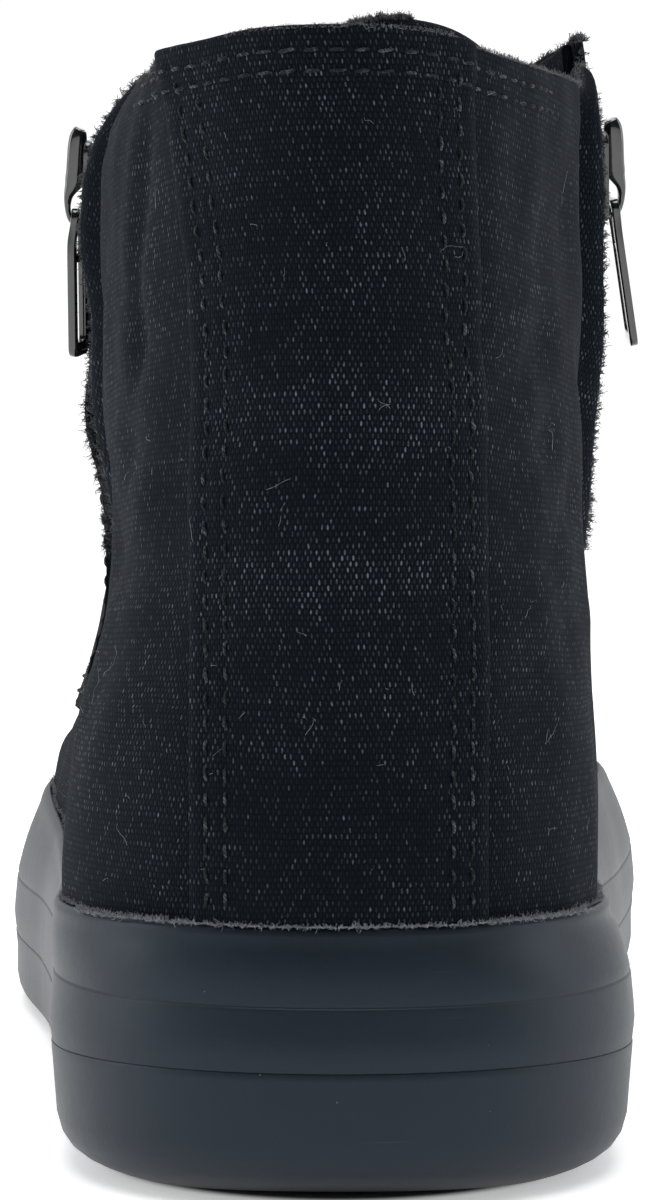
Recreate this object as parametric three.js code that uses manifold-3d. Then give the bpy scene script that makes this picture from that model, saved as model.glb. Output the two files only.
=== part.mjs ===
// High top sneaker for the left foot, in canvas on a rubber cup sole, with a zip down each side of the shaft.
// Millimetres, +Z up, toe towards +Y, medial side towards +X.
// The origin is on the floor under the middle of the heel.
import * as THREE from "three";
import { mergeVertices } from "three/addons/utils/BufferGeometryUtils.js";
import Module from "manifold-3d";

const wasm = await Module();
wasm.setup();

// Driving dimensions
const RING_SIDE_STEPS = 20; // steps along each side of a ring around the shoe
const FOXING_TOP = 36; // height of the sole's side wall at the heel
const BALL_DROP = 8.5; // how much lower the ball sits than the heel
const TOE_SPRING = 10; // lift of the sole under the toe tip
const HEEL_BEVEL = 6.5; // lift of the sole under the back edge
const FLOOR_OF_CUP = 24; // top of the midsole's floor at the heel
const GAP = 0.3; // between pieces that touch
const WALL = 1.9; // canvas and lining of the upper
const OVERLAY = 1.1; // canvas of the heel strip and the front panels
const CAP_THICKNESS = 1.6; // rubber of the toe cap
const LIP = 1.5; // rubber at the top of the side wall
const INSOLE_THICKNESS = 4;
const TONGUE_THICKNESS = 2.4;
const STRIP_WIDTH = 37; // heel strip
const ZIP_SLOT = 9; // open width between the canvas edges
const CHAIN_WIDTH = 4.4;
const RAW_EDGE = 3.4; // from the zip's middle line to the front panel's raw edge
const EYELET_ROWS = 7;
const EYELET_MARGIN = { bottom: 7, top: 8.5 };
const EYELET_SIDES = 8;

// The last, a row for each height at the heel. back and front are the ends of its ring, and roundBack and
// roundFrom say where the ends start to curve in. The half-widths are at the heel and, at y = 50, the ankle,
// for the lateral (L) and medial (M) side. plan scales the half-widths of PLAN further ahead.
const LEVEL_COLUMNS = [
  "z", "back", "roundBack", "front", "roundFrom", "heelL", "heelM", "ankleL", "ankleM", "plan",
];
const levelRow = (numbers) => Object.fromEntries(LEVEL_COLUMNS.map((name, i) => [name, numbers[i]]));
const LEVELS = [
  [24.5, -36.4, 1, 253.5, 186, 35.4, 33.8, 38.0, 34.8, 0.965],
  [31, -37.2, 1, 256.6, 186, 36.7, 35.0, 39.2, 36.2, 1],
  [38, -37.6, 1, 256.2, 180, 37.1, 35.4, 39.4, 36.6, 0.985],
  [45, -37.7, 2, 250.5, 165, 36.9, 35.3, 39.2, 36.8, 0.955],
  [51.5, -37.5, 3, 236, 140, 36.3, 35.1, 38.6, 36.8, 0.93],
  [58, -36.9, 5, 209, 105, 35.4, 34.9, 37.4, 36.7, 0.9],
  [65, -35.9, 8, 186, 88, 33.9, 34.4, 35.4, 36.6, 0.87],
  [74, -34.4, 11, 167, 76, 31.4, 33.7, 32.9, 36.8, 0.84],
  [86, -32.8, 15, 146, 66, 30.2, 32.5, 33.1, 38.1, 0.815],
  [102, -31.6, 19, 125, 58, 30.2, 31.4, 35.9, 38.6, 0.8],
  [122, -31.4, 23, 108.5, 53, 30.5, 31.0, 35.9, 38.4, 0.78],
  [142, -32.4, 25, 99.5, 50, 30.5, 31.0, 34.4, 37.6, 0.76],
  [172, -34.9, 26, 91, 47, 28.4, 30.1, 25.5, 33, 0.72],
].map(levelRow);
// The last's half-widths ahead of the ankle, at foot height
const PLAN = [
  { y: 100, lateral: 44, medial: 38.5 },
  { y: 150, lateral: 52.2, medial: 45.2 },
  { y: 200, lateral: 49.5, medial: 48 },
  { y: 250, lateral: 46, medial: 44.5 },
];
// The sole's widest outline is a row of the same kind
const SOLE_OUTLINE = levelRow([20, -40.4, 0, 261.5, 186, 39, 40, 42, 41, 1.085]);
// Heights of the sole's side along the shoe: its lower and upper line, and its top edge
const SIDE_HEIGHTS = [
  { y: -40, lowLine: 17.5, highLine: 26.5, top: 36 },
  { y: 15, lowLine: 15.6, highLine: 25.4, top: 35 },
  { y: 75, lowLine: 13, highLine: 23, top: 31.6 },
  { y: 140, lowLine: 12, highLine: 21.5, top: 36.5 },
  { y: 200, lowLine: 12.5, highLine: 22, top: 37.8 },
  { y: 261, lowLine: 20, highLine: 29, top: 41 },
];
// The side in section: share of each tier's height, and how far out it stands from the widest outline
const OUTSOLE_SIDE = [
  { share: 0, out: -9.5 },
  { share: 0.08, out: -5.6 },
  { share: 0.26, out: -3.0 },
  { share: 0.55, out: -1.6 },
  { share: 1, out: -0.8 },
];
const MIDSOLE_SIDE = [
  { share: 0, out: -0.2 },
  { share: 0.35, out: 0 },
  { share: 0.94, out: -0.7 },
];
const TOP_TIER_FOOT = { share: 0.03, out: -1.3 };
// The top tier's upper rows, measured out from the last
const LIP_SIDE = [
  { share: 0.82, out: LIP },
  { share: 0.96, out: LIP - 0.3 },
  { share: 1, out: LIP - 0.8 },
];
// The collar's height along the shoe on each side, behind and ahead of the zips
const COLLAR = [
  { y: -60, lateral: 150.2, medial: 150.2 },
  { y: -31, lateral: 148.7, medial: 148.7 },
  { y: -24, lateral: 147.7, medial: 147.4 },
  { y: -12, lateral: 147.2, medial: 146.3 },
  { y: 12, lateral: 147.2, medial: 146.4 },
  { y: 32, lateral: 148, medial: 147.4 },
  { y: 44, lateral: 149.4, medial: 149.2 },
  { y: 47, lateral: 150.6, medial: 154.8 },
  { y: 62, lateral: 150.8, medial: 154.6 },
  { y: 80, lateral: 150.4, medial: 151.6 },
  { y: 130, lateral: 150, medial: 150 },
];
// The zip's middle line seen from the side, from its bottom to a point above the collar
const ZIP_TOP = { y: 47, z: 175 };
const ZIP_BOTTOM = { y: 66, z: 61 };
const ZIP_TOP_END = 146.5;
const THROAT = { bottomFront: 168, bottomHalf: 7, topHalf: 12.5, depth: 14, reach: 12 };

const smooth = (u) => {
  const c = Math.min(1, Math.max(0, u));
  return c * c * (3 - 2 * c);
};
const mix = (a, b, u) => a + (b - a) * u;

// Hermite curve through (xs, ys) at x, level beyond both ends
function splineAt(xs, ys, x) {
  const last = xs.length - 1;
  if (x <= xs[0]) return ys[0];
  if (x >= xs[last]) return ys[last];
  let i = 0;
  while (x > xs[i + 1]) i++;
  const slope = (k) => {
    const a = Math.max(0, k - 1);
    const b = Math.min(last, k + 1);
    return (ys[b] - ys[a]) / (xs[b] - xs[a]);
  };
  const h = xs[i + 1] - xs[i];
  const u = (x - xs[i]) / h;
  return (
    (1 + 2 * u) * (1 - u) ** 2 * ys[i] +
    u * (1 - u) ** 2 * h * slope(i) +
    u * u * (3 - 2 * u) * ys[i + 1] +
    u * u * (u - 1) * h * slope(i + 1)
  );
}

const ROW_NUMBERS = LEVELS.map((_, i) => i);
const TOP_ROW = LEVELS.length - 1;

// The last's row at t, where whole numbers are the rows of LEVELS
function levelAt(t) {
  const row = {};
  for (const key of Object.keys(LEVELS[0])) {
    row[key] = splineAt(ROW_NUMBERS, LEVELS.map((level) => level[key]), t);
  }
  return row;
}

// The t at which a column of LEVELS, which rises or falls all the way, has this value
function rowWhere(key, value) {
  const rises = LEVELS.at(-1)[key] > LEVELS[2][key];
  let low = key === "front" ? 2 : 0;
  let high = TOP_ROW;
  for (let i = 0; i < 40; i++) {
    const t = (low + high) / 2;
    if (levelAt(t)[key] < value === rises) low = t;
    else high = t;
  }
  return low;
}

// The pitch of the whole shoe: down from heel to ball, and up again under the toe
const toeLift = (y) => Math.max(0, (y - 180) / 80) ** 2;
const pitch = (y) => -BALL_DROP * smooth((y - 10) / 160) + BALL_DROP * toeLift(y);
const soleBottom = (y) => TOE_SPRING * toeLift(y) + HEEL_BEVEL * Math.max(0, (-12 - y) / 28) ** 2;
const column = (table, key) => table.map((row) => row[key]);
const sideHeight = (key, y) => splineAt(column(SIDE_HEIGHTS, "y"), column(SIDE_HEIGHTS, key), y);
const toeSwing = (y) => 6 * smooth((y - 110) / 150);

function halfWidth(level, side, y) {
  const heel = side > 0 ? level.heelM : level.heelL;
  const ankle = side > 0 ? level.ankleM : level.ankleL;
  const plan = PLAN.map((p) => level.plan * (side > 0 ? p.medial : p.lateral));
  return splineAt([-40, 0, 50, ...PLAN.map((p) => p.y)], [heel, heel, ankle, ...plan], y);
}

const zipAt = (z) => mix(ZIP_BOTTOM.y, ZIP_TOP.y, (z - ZIP_BOTTOM.z) / (ZIP_TOP.z - ZIP_BOTTOM.z));

// A point of the last on a row's ring. turn runs from 0 at the back, by the medial side, to pi at the toe,
// and on by the lateral side.
function ringPoint(level, turn) {
  const y = level.back + ((level.front - level.back) * (1 - Math.cos(turn))) / 2;
  const closing = (q, power) => Math.sqrt(Math.max(0, 1 - Math.max(0, q) ** power));
  const side = Math.sin(turn) >= 0 ? 1 : -1;
  const x =
    side *
    halfWidth(level, side, y) *
    closing((level.roundBack - y) / (level.roundBack - level.back), 2.2) *
    closing((y - level.roundFrom) / (level.front - level.roundFrom), 2.15);
  return new THREE.Vector3(x + toeSwing(y), y, level.z + pitch(y));
}

// The last's surface moved out along its normal, or in where out is negative
function surfacePoint(t, turn, out) {
  const step = 0.02;
  const level = levelAt(t);
  const higher = levelAt(Math.min(TOP_ROW, t + step));
  const lower = levelAt(Math.max(0, t - step));
  const up = ringPoint(higher, turn).sub(ringPoint(lower, turn));
  const along = ringPoint(level, turn + step).sub(ringPoint(level, turn - step));
  return ringPoint(level, turn).addScaledVector(along.cross(up).normalize(), out);
}

const RING_TURNS = Array.from({ length: 2 * RING_SIDE_STEPS }, (_, i) => (i * Math.PI) / RING_SIDE_STEPS);

function solidFrom(points, triangles) {
  return new wasm.Manifold(
    new wasm.Mesh({
      numProp: 3,
      vertProperties: new Float32Array(points.flatMap((p) => [p.x, p.y, p.z])),
      triVerts: new Uint32Array(triangles.flat()),
    }),
  );
}

// Triangles across a ring, from its one side to the other
function ladder(first, count, upwards) {
  const half = count / 2;
  const made = [[0, 1, count - 1]];
  for (let i = 1; i < half - 1; i++) {
    made.push([i, i + 1, count - i - 1], [i, count - i - 1, count - i]);
  }
  made.push([half - 1, half, half + 1]);
  const turned = upwards ? made : made.map(([a, b, c]) => [a, c, b]);
  return turned.map((triangle) => triangle.map((corner) => first + corner));
}

// A solid through rings of equally many points, capped at both ends, or closed from the last ring to the
// first. The diagonals lean the same way on rings going up and going down, so nested shells keep their gap.
function loft(rings, closed = false) {
  const count = rings[0].length;
  const triangles = [];
  const pairs = closed ? rings.length : rings.length - 1;
  for (let r = 0; r < pairs; r++) {
    const low = r * count;
    const high = ((r + 1) % rings.length) * count;
    for (let i = 0; i < count; i++) {
      const j = (i + 1) % count;
      if (rings[(r + 1) % rings.length][0].z >= rings[r][0].z) {
        triangles.push([low + i, low + j, high + j], [low + i, high + j, high + i]);
      } else {
        triangles.push([low + i, low + j, high + i], [low + j, high + j, high + i]);
      }
    }
  }
  if (!closed) {
    triangles.push(...ladder(0, count, false), ...ladder((rings.length - 1) * count, count, true));
  }
  return solidFrom(rings.flat(), triangles);
}

// A shell of the last between two offsets, from row t0 to row t1, with a ring on each row between them
function shell(inner, outer, t0, t1) {
  const ringAt = (t, out) => RING_TURNS.map((turn) => surfacePoint(t, turn, out));
  const heights = [t0, ...ROW_NUMBERS.filter((row) => row > t0 + 0.1 && row < t1 - 0.1), t1];
  const outside = heights.map((t) => ringAt(t, outer));
  const inside = heights.map((t) => ringAt(t, inner)).reverse();
  return loft([...outside, ...inside], true);
}

// A solid from a three.js geometry
function solidOf(geometry) {
  const bare = geometry.clone();
  bare.deleteAttribute("normal");
  bare.deleteAttribute("uv");
  const merged = mergeVertices(bare, 1e-4);
  return new wasm.Manifold(
    new wasm.Mesh({
      numProp: 3,
      vertProperties: merged.attributes.position.array,
      triVerts: new Uint32Array(merged.index.array),
    }),
  );
}

// A prism over a polygon of [a, b] pairs. right, up and out are the directions of a, b and the depth.
function prism(polygon, right, up, out, start, depth) {
  const shape = new THREE.Shape(polygon.map(([a, b]) => new THREE.Vector2(a, b)));
  const geometry = new THREE.ExtrudeGeometry(shape, { depth, bevelEnabled: false });
  geometry.translate(0, 0, start);
  return solidOf(geometry.applyMatrix4(new THREE.Matrix4().makeBasis(right, up, out)));
}
const X = new THREE.Vector3(1, 0, 0);
const Y = new THREE.Vector3(0, 1, 0);
const Z = new THREE.Vector3(0, 0, 1);
const SIDE_REACH = 80;
const sidePrism = (polygon) => prism(polygon, Y, Z, X, -SIDE_REACH, 2 * SIDE_REACH);
const halfPrism = (polygon, side) => prism(polygon, Y, Z, X, side > 0 ? 5 : -SIDE_REACH, SIDE_REACH - 5);

// Sole
const outlineNormal = (level, turn) => {
  const step = 0.02;
  const along = ringPoint(level, turn + step).sub(ringPoint(level, turn - step));
  return along.setZ(0).cross(Z).normalize();
};

// The bottom edge is rounder at the heel than ahead of the waist
const roundness = (y) => mix(1, 0.5, smooth((y - 30) / 60));

// A ring of the sole's side, between the heights that from and to give along the shoe
function soleRing({ share, out }, from, to, scaleAt = () => 1) {
  return RING_TURNS.map((turn) => {
    const p = ringPoint(SOLE_OUTLINE, turn);
    p.addScaledVector(outlineNormal(SOLE_OUTLINE, turn), out * scaleAt(p.y));
    return p.setZ(mix(from(p.y), to(p.y), share));
  });
}

// The last's ring that runs at a height given along the shoe, moved out level by out
function heightRing(heightAt, out) {
  return RING_TURNS.map((turn) => {
    let low = 0;
    let high = 6;
    for (let i = 0; i < 30; i++) {
      const middle = (low + high) / 2;
      const p = ringPoint(levelAt(middle), turn);
      if (p.z < heightAt(p.y)) low = middle;
      else high = middle;
    }
    const level = levelAt(low);
    return ringPoint(level, turn).addScaledVector(outlineNormal(level, turn), out);
  });
}
const lowLine = (y) => sideHeight("lowLine", y);
const highLine = (y) => sideHeight("highLine", y);
const wallTop = (y) => sideHeight("top", y);

function makeOutsole() {
  const rings = OUTSOLE_SIDE.map((row) => soleRing(row, soleBottom, lowLine, roundness));
  const grooveWidth = 3.2;
  const grooveDepth = 1.8;
  const grooves = [-26, -14, 16, 28, 92, 106, 120, 134, 148, 182, 194, 206, 218, 230].map((y) => {
    const half = grooveWidth / 2;
    const bottom = soleBottom(y);
    return prism(
      [
        [y - half, bottom - 9],
        [y + half, bottom - 9],
        [y + half - 0.4, bottom + grooveDepth],
        [y - half + 0.4, bottom + grooveDepth],
      ],
      Y,
      Z,
      X,
      -27,
      54 + toeSwing(y),
    );
  });
  return grooves.reduce((sole, groove) => sole.subtract(groove), loft(rings));
}

function makeMidsole() {
  const bottom = (y) => lowLine(y) + GAP;
  const body = loft([
    ...MIDSOLE_SIDE.map((row) => soleRing(row, bottom, highLine)),
    soleRing(TOP_TIER_FOOT, highLine, wallTop),
    ...LIP_SIDE.map(({ share, out }) => heightRing((y) => mix(highLine(y), wallTop(y), share), out)),
  ]);
  const floor = RING_TURNS.map((turn) => {
    const p = surfacePoint(0, turn, GAP);
    return p.setZ(FLOOR_OF_CUP + pitch(p.y));
  });
  const rows = [1, 2, 3, 4].map((t) => RING_TURNS.map((turn) => surfacePoint(t, turn, GAP)));
  return body.subtract(loft([floor, ...rows]));
}

function makeInsole() {
  const edge = RING_TURNS.map((turn) => surfacePoint(0, turn, -WALL - 2 * GAP));
  const at = (height) => edge.map((p) => p.clone().setZ(FLOOR_OF_CUP + GAP + height + pitch(p.y)));
  return loft([at(0), at(INSOLE_THICKNESS)]);
}

// Cutters
const SKY = 260; // above everything
const collarPolygon = (side) => {
  const edge = COLLAR.map((row) => [row.y, row[side]]);
  return [[-90, SKY], [-90, edge[0][1]], ...edge, [200, edge.at(-1)[1]], [200, SKY]];
};

// The zip's band from the side: back and front are distances from its middle line
function zipBand(back, front, bottom, top, side) {
  return halfPrism(
    [
      [zipAt(bottom) + back, bottom],
      [zipAt(bottom) + front, bottom],
      [zipAt(top) + front, top],
      [zipAt(top) + back, top],
    ],
    side,
  );
}

// A cutter along the ridge of the vamp and the front of the shaft, between two rows
function ridgeCutter(t0, t1, halfAt, depth, reach, shiftAt = () => 0) {
  const steps = 9;
  const sections = Array.from({ length: steps + 1 }, (_, i) => {
    const u = i / steps;
    const t = mix(t0, t1, u);
    const inner = surfacePoint(t, Math.PI, -depth);
    const outer = surfacePoint(t, Math.PI, reach);
    const half = halfAt(u);
    const at = (p, dx) => p.clone().add(new THREE.Vector3(dx + shiftAt(u), 0, 0));
    return [at(outer, half), at(outer, -half), at(inner, -half), at(inner, half)];
  });
  return loft(sections);
}

const throatBottomRow = rowWhere("front", THROAT.bottomFront);
// The throat's bottom is rounded off a little
const throatHalf = (u) => {
  if (u === 0) return THROAT.bottomHalf * 0.6;
  return mix(THROAT.bottomHalf, THROAT.topHalf, Math.sqrt(u));
};
const throatCutter = (wider) =>
  ridgeCutter(throatBottomRow, TOP_ROW, (u) => throatHalf(u) + wider, THROAT.depth, THROAT.reach);
const aboveCollar = prism(collarPolygon("medial"), Y, Z, X, 0, SIDE_REACH).add(
  prism(collarPolygon("lateral"), Y, Z, X, -SIDE_REACH, SIDE_REACH),
);
const zipSlot = (side) => zipBand(-ZIP_SLOT / 2, ZIP_SLOT / 2, ZIP_BOTTOM.z, SKY, side);

// Rows evenly spaced along the ridge, from just above the throat's bottom to just below the collar
function eyeletRows() {
  const t1 = rowWhere("z", 150);
  const steps = 80;
  const path = Array.from({ length: steps + 1 }, (_, i) => {
    const t = mix(throatBottomRow, t1, i / steps);
    return { t, point: surfacePoint(t, Math.PI, 0), length: 0 };
  });
  for (let i = 1; i <= steps; i++) {
    const before = path[i - 1];
    path[i].length = before.length + path[i].point.distanceTo(before.point);
  }
  const whole = path[steps].length;
  return Array.from({ length: EYELET_ROWS }, (_, i) => {
    const length = mix(EYELET_MARGIN.bottom, whole - EYELET_MARGIN.top, i / (EYELET_ROWS - 1));
    return path.find((stop) => stop.length >= length).t;
  });
}

// Where the eyelets sit: along both edges of the throat, on the front panels
function eyeletPlaces() {
  const places = [];
  const rows = eyeletRows();
  for (let i = 0; i < EYELET_ROWS; i++) {
    const t = rows[i];
    const u = (t - throatBottomRow) / (TOP_ROW - throatBottomRow);
    for (const side of [1, -1]) {
      const reach = throatHalf(u) + 8;
      let turn = Math.PI;
      const middle = surfacePoint(t, turn, 0);
      while (Math.abs(surfacePoint(t, turn, 0).x - middle.x) < reach) turn -= side * 0.01;
      const seat = surfacePoint(t, turn, 0);
      const normal = surfacePoint(t, turn, 1).sub(seat);
      places.push({ row: i + 1, side, t, turn, seat, normal });
    }
  }
  return places;
}
const EYELETS = eyeletPlaces();
const EYELET = { flange: 4.1, barrel: 2.7, bore: 2.0, lift: 0.7, flangeThickness: 0.7, barrelDepth: 3.2 };
const panelTop = GAP + OVERLAY;

function placedAlong(solidGeometry, seat, normal, out) {
  const turn = new THREE.Quaternion().setFromUnitVectors(Z, normal);
  const place = new THREE.Matrix4().makeRotationFromQuaternion(turn);
  place.setPosition(seat.clone().addScaledVector(normal, out));
  return solidGeometry.clone().applyMatrix4(place);
}

function eyeletHoles() {
  const radius = EYELET.barrel + GAP;
  const cylinder = new THREE.CylinderGeometry(radius, radius, 12, EYELET_SIDES).rotateX(Math.PI / 2);
  return EYELETS.map(({ seat, normal }) => solidOf(placedAlong(cylinder, seat, normal, 0)));
}
const holes = eyeletHoles();

function cutAll(solid, cutters) {
  return cutters.reduce((made, cutter) => made.subtract(cutter), solid);
}

function makeUpper() {
  const body = shell(-WALL, 0, 0, TOP_ROW);
  return cutAll(body, [aboveCollar, throatCutter(0), zipSlot(1), zipSlot(-1), ...holes]);
}

// The heel strip: a band up the back, wider towards the collar, leaning a little to the lateral side
function makeHeelStrip() {
  const half = STRIP_WIDTH / 2;
  const polygon = [
    [-half, 0],
    [half, 0],
    [half, 95],
    [half - 1.8, 130],
    [half - 2.2, 200],
    [-half - 6, 200],
    [-half - 4.6, 150],
    [-half - 2, 132],
    [-half, 112],
  ];
  const cut = prism(polygon, X, Z, Y.clone().negate(), 5, 60);
  const band = shell(GAP, GAP + OVERLAY, rowWhere("z", FOXING_TOP + GAP + 0.2), TOP_ROW);
  return band.intersect(cut).subtract(aboveCollar);
}

// The front panels and eyestay, one piece round the bottom of the throat, with raw edges along the zips
function makeFrontPanel() {
  const region = [
    [zipAt(200) + RAW_EDGE, 200],
    [zipAt(63) + RAW_EDGE, 63],
    [84, 56],
    [110, 52.5],
    [140, 52],
    [166, 53],
    [184, 52],
    [196, 60],
    [196, 200],
  ];
  const band = shell(GAP, GAP + OVERLAY, rowWhere("z", 52), TOP_ROW);
  return cutAll(band.intersect(sidePrism(region)), [aboveCollar, throatCutter(0.4), ...holes]);
}

function makeToeCap() {
  const edge = Array.from({ length: 9 }, (_, i) => {
    const x = mix(-60, 60, i / 8);
    return [x + toeSwing(210), 209 + 9 * (x / 50) ** 2 * (x < 0 ? 0.4 : 1)];
  });
  const cut = prism([...edge, [70, 300], [-60, 300]], X, Y, Z, -10, 100);
  const band = shell(GAP, GAP + CAP_THICKNESS, 1, rowWhere("front", 198));
  const ends = Array.from({ length: 7 }, (_, i) => mix(200, 262, i / 6));
  const aboveWall = sidePrism([...ends.map((y) => [y, wallTop(y) + GAP]), [280, 42], [280, 90], [200, 90]]);
  return band.intersect(cut).intersect(aboveWall);
}

// The tongue lies under the throat and stands above the collar, with a round top edge
const TONGUE_TOP = 162.5;
const TONGUE_SHIFT = 9; // how far the top has slid towards the medial side
const TONGUE_RIM = { half: 19, rise: 12.5, shoulder: 136 };
function makeTongue() {
  const outer = -WALL - GAP;
  const band = shell(outer - TONGUE_THICKNESS, outer, rowWhere("front", 186), TOP_ROW);
  const halfAt = (u) => mix(17, 25, u);
  const shiftAt = (u) => TONGUE_SHIFT * u * u;
  const width = ridgeCutter(rowWhere("front", 185), TOP_ROW, halfAt, 26, 8, shiftAt);
  const rim = Array.from({ length: 13 }, (_, i) => {
    const a = (i * Math.PI) / 12;
    return [TONGUE_SHIFT + TONGUE_RIM.half * Math.cos(a), TONGUE_TOP - TONGUE_RIM.rise * (1 - Math.sin(a))];
  });
  const outline = [[-60, 0], [60, 0], [60, TONGUE_RIM.shoulder], ...rim, [-60, TONGUE_RIM.shoulder]];
  const cut = prism(outline, X, Z, Y.clone().negate(), -220, 200);
  return band.intersect(width).intersect(cut);
}

// Zip: woven tape with the closed chain on it
function makeZip(side) {
  const low = rowWhere("z", 58);
  const bottom = ZIP_BOTTOM.z + GAP;
  const top = ZIP_TOP_END;
  const tapeHalf = ZIP_SLOT / 2 - GAP;
  const tape = shell(-1.5, -0.5, low, TOP_ROW).intersect(zipBand(-tapeHalf, tapeHalf, bottom, top, side));
  const chain = shell(-0.6, 0.5, low, TOP_ROW).intersect(
    zipBand(-CHAIN_WIDTH / 2, CHAIN_WIDTH / 2, bottom + 1.5, top - 1, side),
  );
  return tape.add(chain);
}

// Slider and pull tab, modelled with +Z out of the shoe and +Y up along the zip, the pivot at the origin
const SLIDER = { pivotOut: 2.8, underside: 0.9, width: 6.2, plate: 1, bailWidth: 2.2 };
const TAB = { length: 22.5, width: 6.4, thickness: 1.2, slot: 7.6, arm: 1.4, pin: 0.5, slotHalf: 1.7 };

function makeSliderShape() {
  const low = SLIDER.underside - SLIDER.pivotOut;
  const half = SLIDER.width / 2;
  const rightEdge = [
    [half - 1.4, -2.6],
    [half, 2],
    [half, 8],
    [half - 1.4, 10.4],
  ];
  const leftEdge = rightEdge.map(([x, y]) => [-x, y]).reverse();
  const body = new THREE.Shape([...rightEdge, ...leftEdge].map(([x, y]) => new THREE.Vector2(x, y)));
  const plate = new THREE.ExtrudeGeometry(body, { depth: SLIDER.plate, bevelEnabled: false });
  plate.translate(0, 0, low);
  // The bail is an arch over the pull tab's pin, in the plane of the zip's length
  const foot = low + SLIDER.plate - 0.2;
  const outside = [[-2.3, foot], [-2.2, 0.5], [-1.4, 1.5], [0.6, 1.8], [6, 1.7], [9, 0.6], [9.8, foot]];
  const inside = [[8.3, foot], [7.6, 0], [6, 0.8], [0.4, 0.95], [-0.7, 0.85], [-1.1, 0.2], [-1.1, foot]];
  const arch = new THREE.Shape([...outside, ...inside].map(([y, z]) => new THREE.Vector2(y, z)));
  const bail = new THREE.ExtrudeGeometry(arch, { depth: SLIDER.bailWidth, bevelEnabled: false });
  bail.translate(0, 0, -SLIDER.bailWidth / 2).applyMatrix4(new THREE.Matrix4().makeBasis(Y, Z, X));
  return solidOf(plate).add(solidOf(bail));
}

// Hangs down along -Y, with a cross pin through the bail
function makeTabShape() {
  const half = TAB.width / 2;
  const armHalf = TAB.slotHalf + TAB.arm;
  const corner = 1.6;
  const rightEdge = [
    [armHalf, TAB.pin],
    [armHalf, -3],
    [half, -6],
    [half, corner - TAB.length],
    [half - corner, -TAB.length],
  ];
  const leftEdge = rightEdge.map(([x, y]) => [-x, y]).reverse();
  const outline = new THREE.Shape([...rightEdge, ...leftEdge].map(([x, y]) => new THREE.Vector2(x, y)));
  const slot = [
    [-TAB.slotHalf, -TAB.slot],
    [TAB.slotHalf, -TAB.slot],
    [TAB.slotHalf, -TAB.pin],
    [-TAB.slotHalf, -TAB.pin],
  ];
  outline.holes.push(new THREE.Path(slot.map(([x, y]) => new THREE.Vector2(x, y))));
  const plate = new THREE.ExtrudeGeometry(outline, { depth: TAB.thickness, bevelEnabled: false });
  return solidOf(plate.translate(0, 0, -TAB.thickness / 2));
}

// The frame of a slider on its side of the shaft: where its pivot is, and how its three directions lie
function sliderFrame(side, z) {
  const t = rowWhere("z", z);
  let turn = side * 1.2;
  for (let i = 0; i < 30; i++) turn += side * (zipAt(z) - surfacePoint(t, turn, 0).y) * 0.006;
  const seat = surfacePoint(t, turn, 0);
  const normal = surfacePoint(t, turn, 1).sub(seat);
  const along = new THREE.Vector3(0, ZIP_TOP.y - ZIP_BOTTOM.y, ZIP_TOP.z - ZIP_BOTTOM.z);
  const across = along.cross(normal).normalize();
  const up = normal.clone().cross(across).normalize();
  return {
    pivot: seat.clone().addScaledVector(normal, SLIDER.pivotOut),
    basis: new THREE.Matrix4().makeBasis(across, up, normal),
    across,
  };
}

// Eyelets and lace
function makeEyelet() {
  const profile = [
    [EYELET.bore, -EYELET.barrelDepth],
    [EYELET.barrel, -EYELET.barrelDepth],
    [EYELET.barrel, 0],
    [EYELET.flange, 0.15],
    [EYELET.bore + 1.2, EYELET.flangeThickness],
    [EYELET.bore, EYELET.flangeThickness],
    [EYELET.bore, -EYELET.barrelDepth],
  ].map(([r, z]) => new THREE.Vector2(r, z));
  return new THREE.LatheGeometry(profile, EYELET_SIDES).rotateX(Math.PI / 2);
}

// A flat band from one eyelet to another, which follows the front of the shoe
const LACE = { width: 5, thickness: 1.3, steps: 4, above: 0.7, crossing: 0.5 };
const laceOut = panelTop + EYELET.lift + EYELET.flangeThickness + LACE.above + LACE.thickness / 2;
function laceBand(from, to, out) {
  const pointAt = (u, distance) => surfacePoint(mix(from.t, to.t, u), mix(from.turn, to.turn, u), distance);
  const sections = Array.from({ length: LACE.steps + 1 }, (_, i) => {
    const u = i / LACE.steps;
    const centre = pointAt(u, out);
    const along = pointAt(u + 0.02, out).sub(pointAt(u - 0.02, out));
    const across = centre.clone().sub(pointAt(u, 0)).cross(along).normalize();
    const over = along.clone().cross(across).normalize();
    return [[1, 1], [-1, 1], [-1, -1], [1, -1]].map(([a, b]) =>
      centre
        .clone()
        .addScaledVector(across, (a * LACE.width) / 2)
        .addScaledVector(over, (b * LACE.thickness) / 2),
    );
  });
  return loft(sections);
}

// The lace in one piece: a bar at the bottom, and bands that cross between the eyelets up to the top
function makeLace() {
  const at = (row, side) => EYELETS.find((eyelet) => eyelet.row === row && eyelet.side === side);
  let lace = laceBand(at(1, -1), at(1, 1), laceOut);
  for (let row = 1; row < EYELET_ROWS; row++) {
    lace = lace
      .add(laceBand(at(row, 1), at(row + 1, -1), laceOut + LACE.crossing))
      .add(laceBand(at(row, -1), at(row + 1, 1), laceOut));
  }
  return lace;
}

// Materials
function finish(color, roughness, metalness = 0) {
  return new THREE.MeshStandardMaterial({ color, roughness, metalness });
}
const canvas = finish(0x16181d, 0.95);
const rubber = finish(0x24282e, 0.55);
const lining = finish(0x121419, 1);
const blackMetal = finish(0x1a1c20, 0.25, 0.9);
const cord = finish(0x14161a, 0.9);

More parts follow.
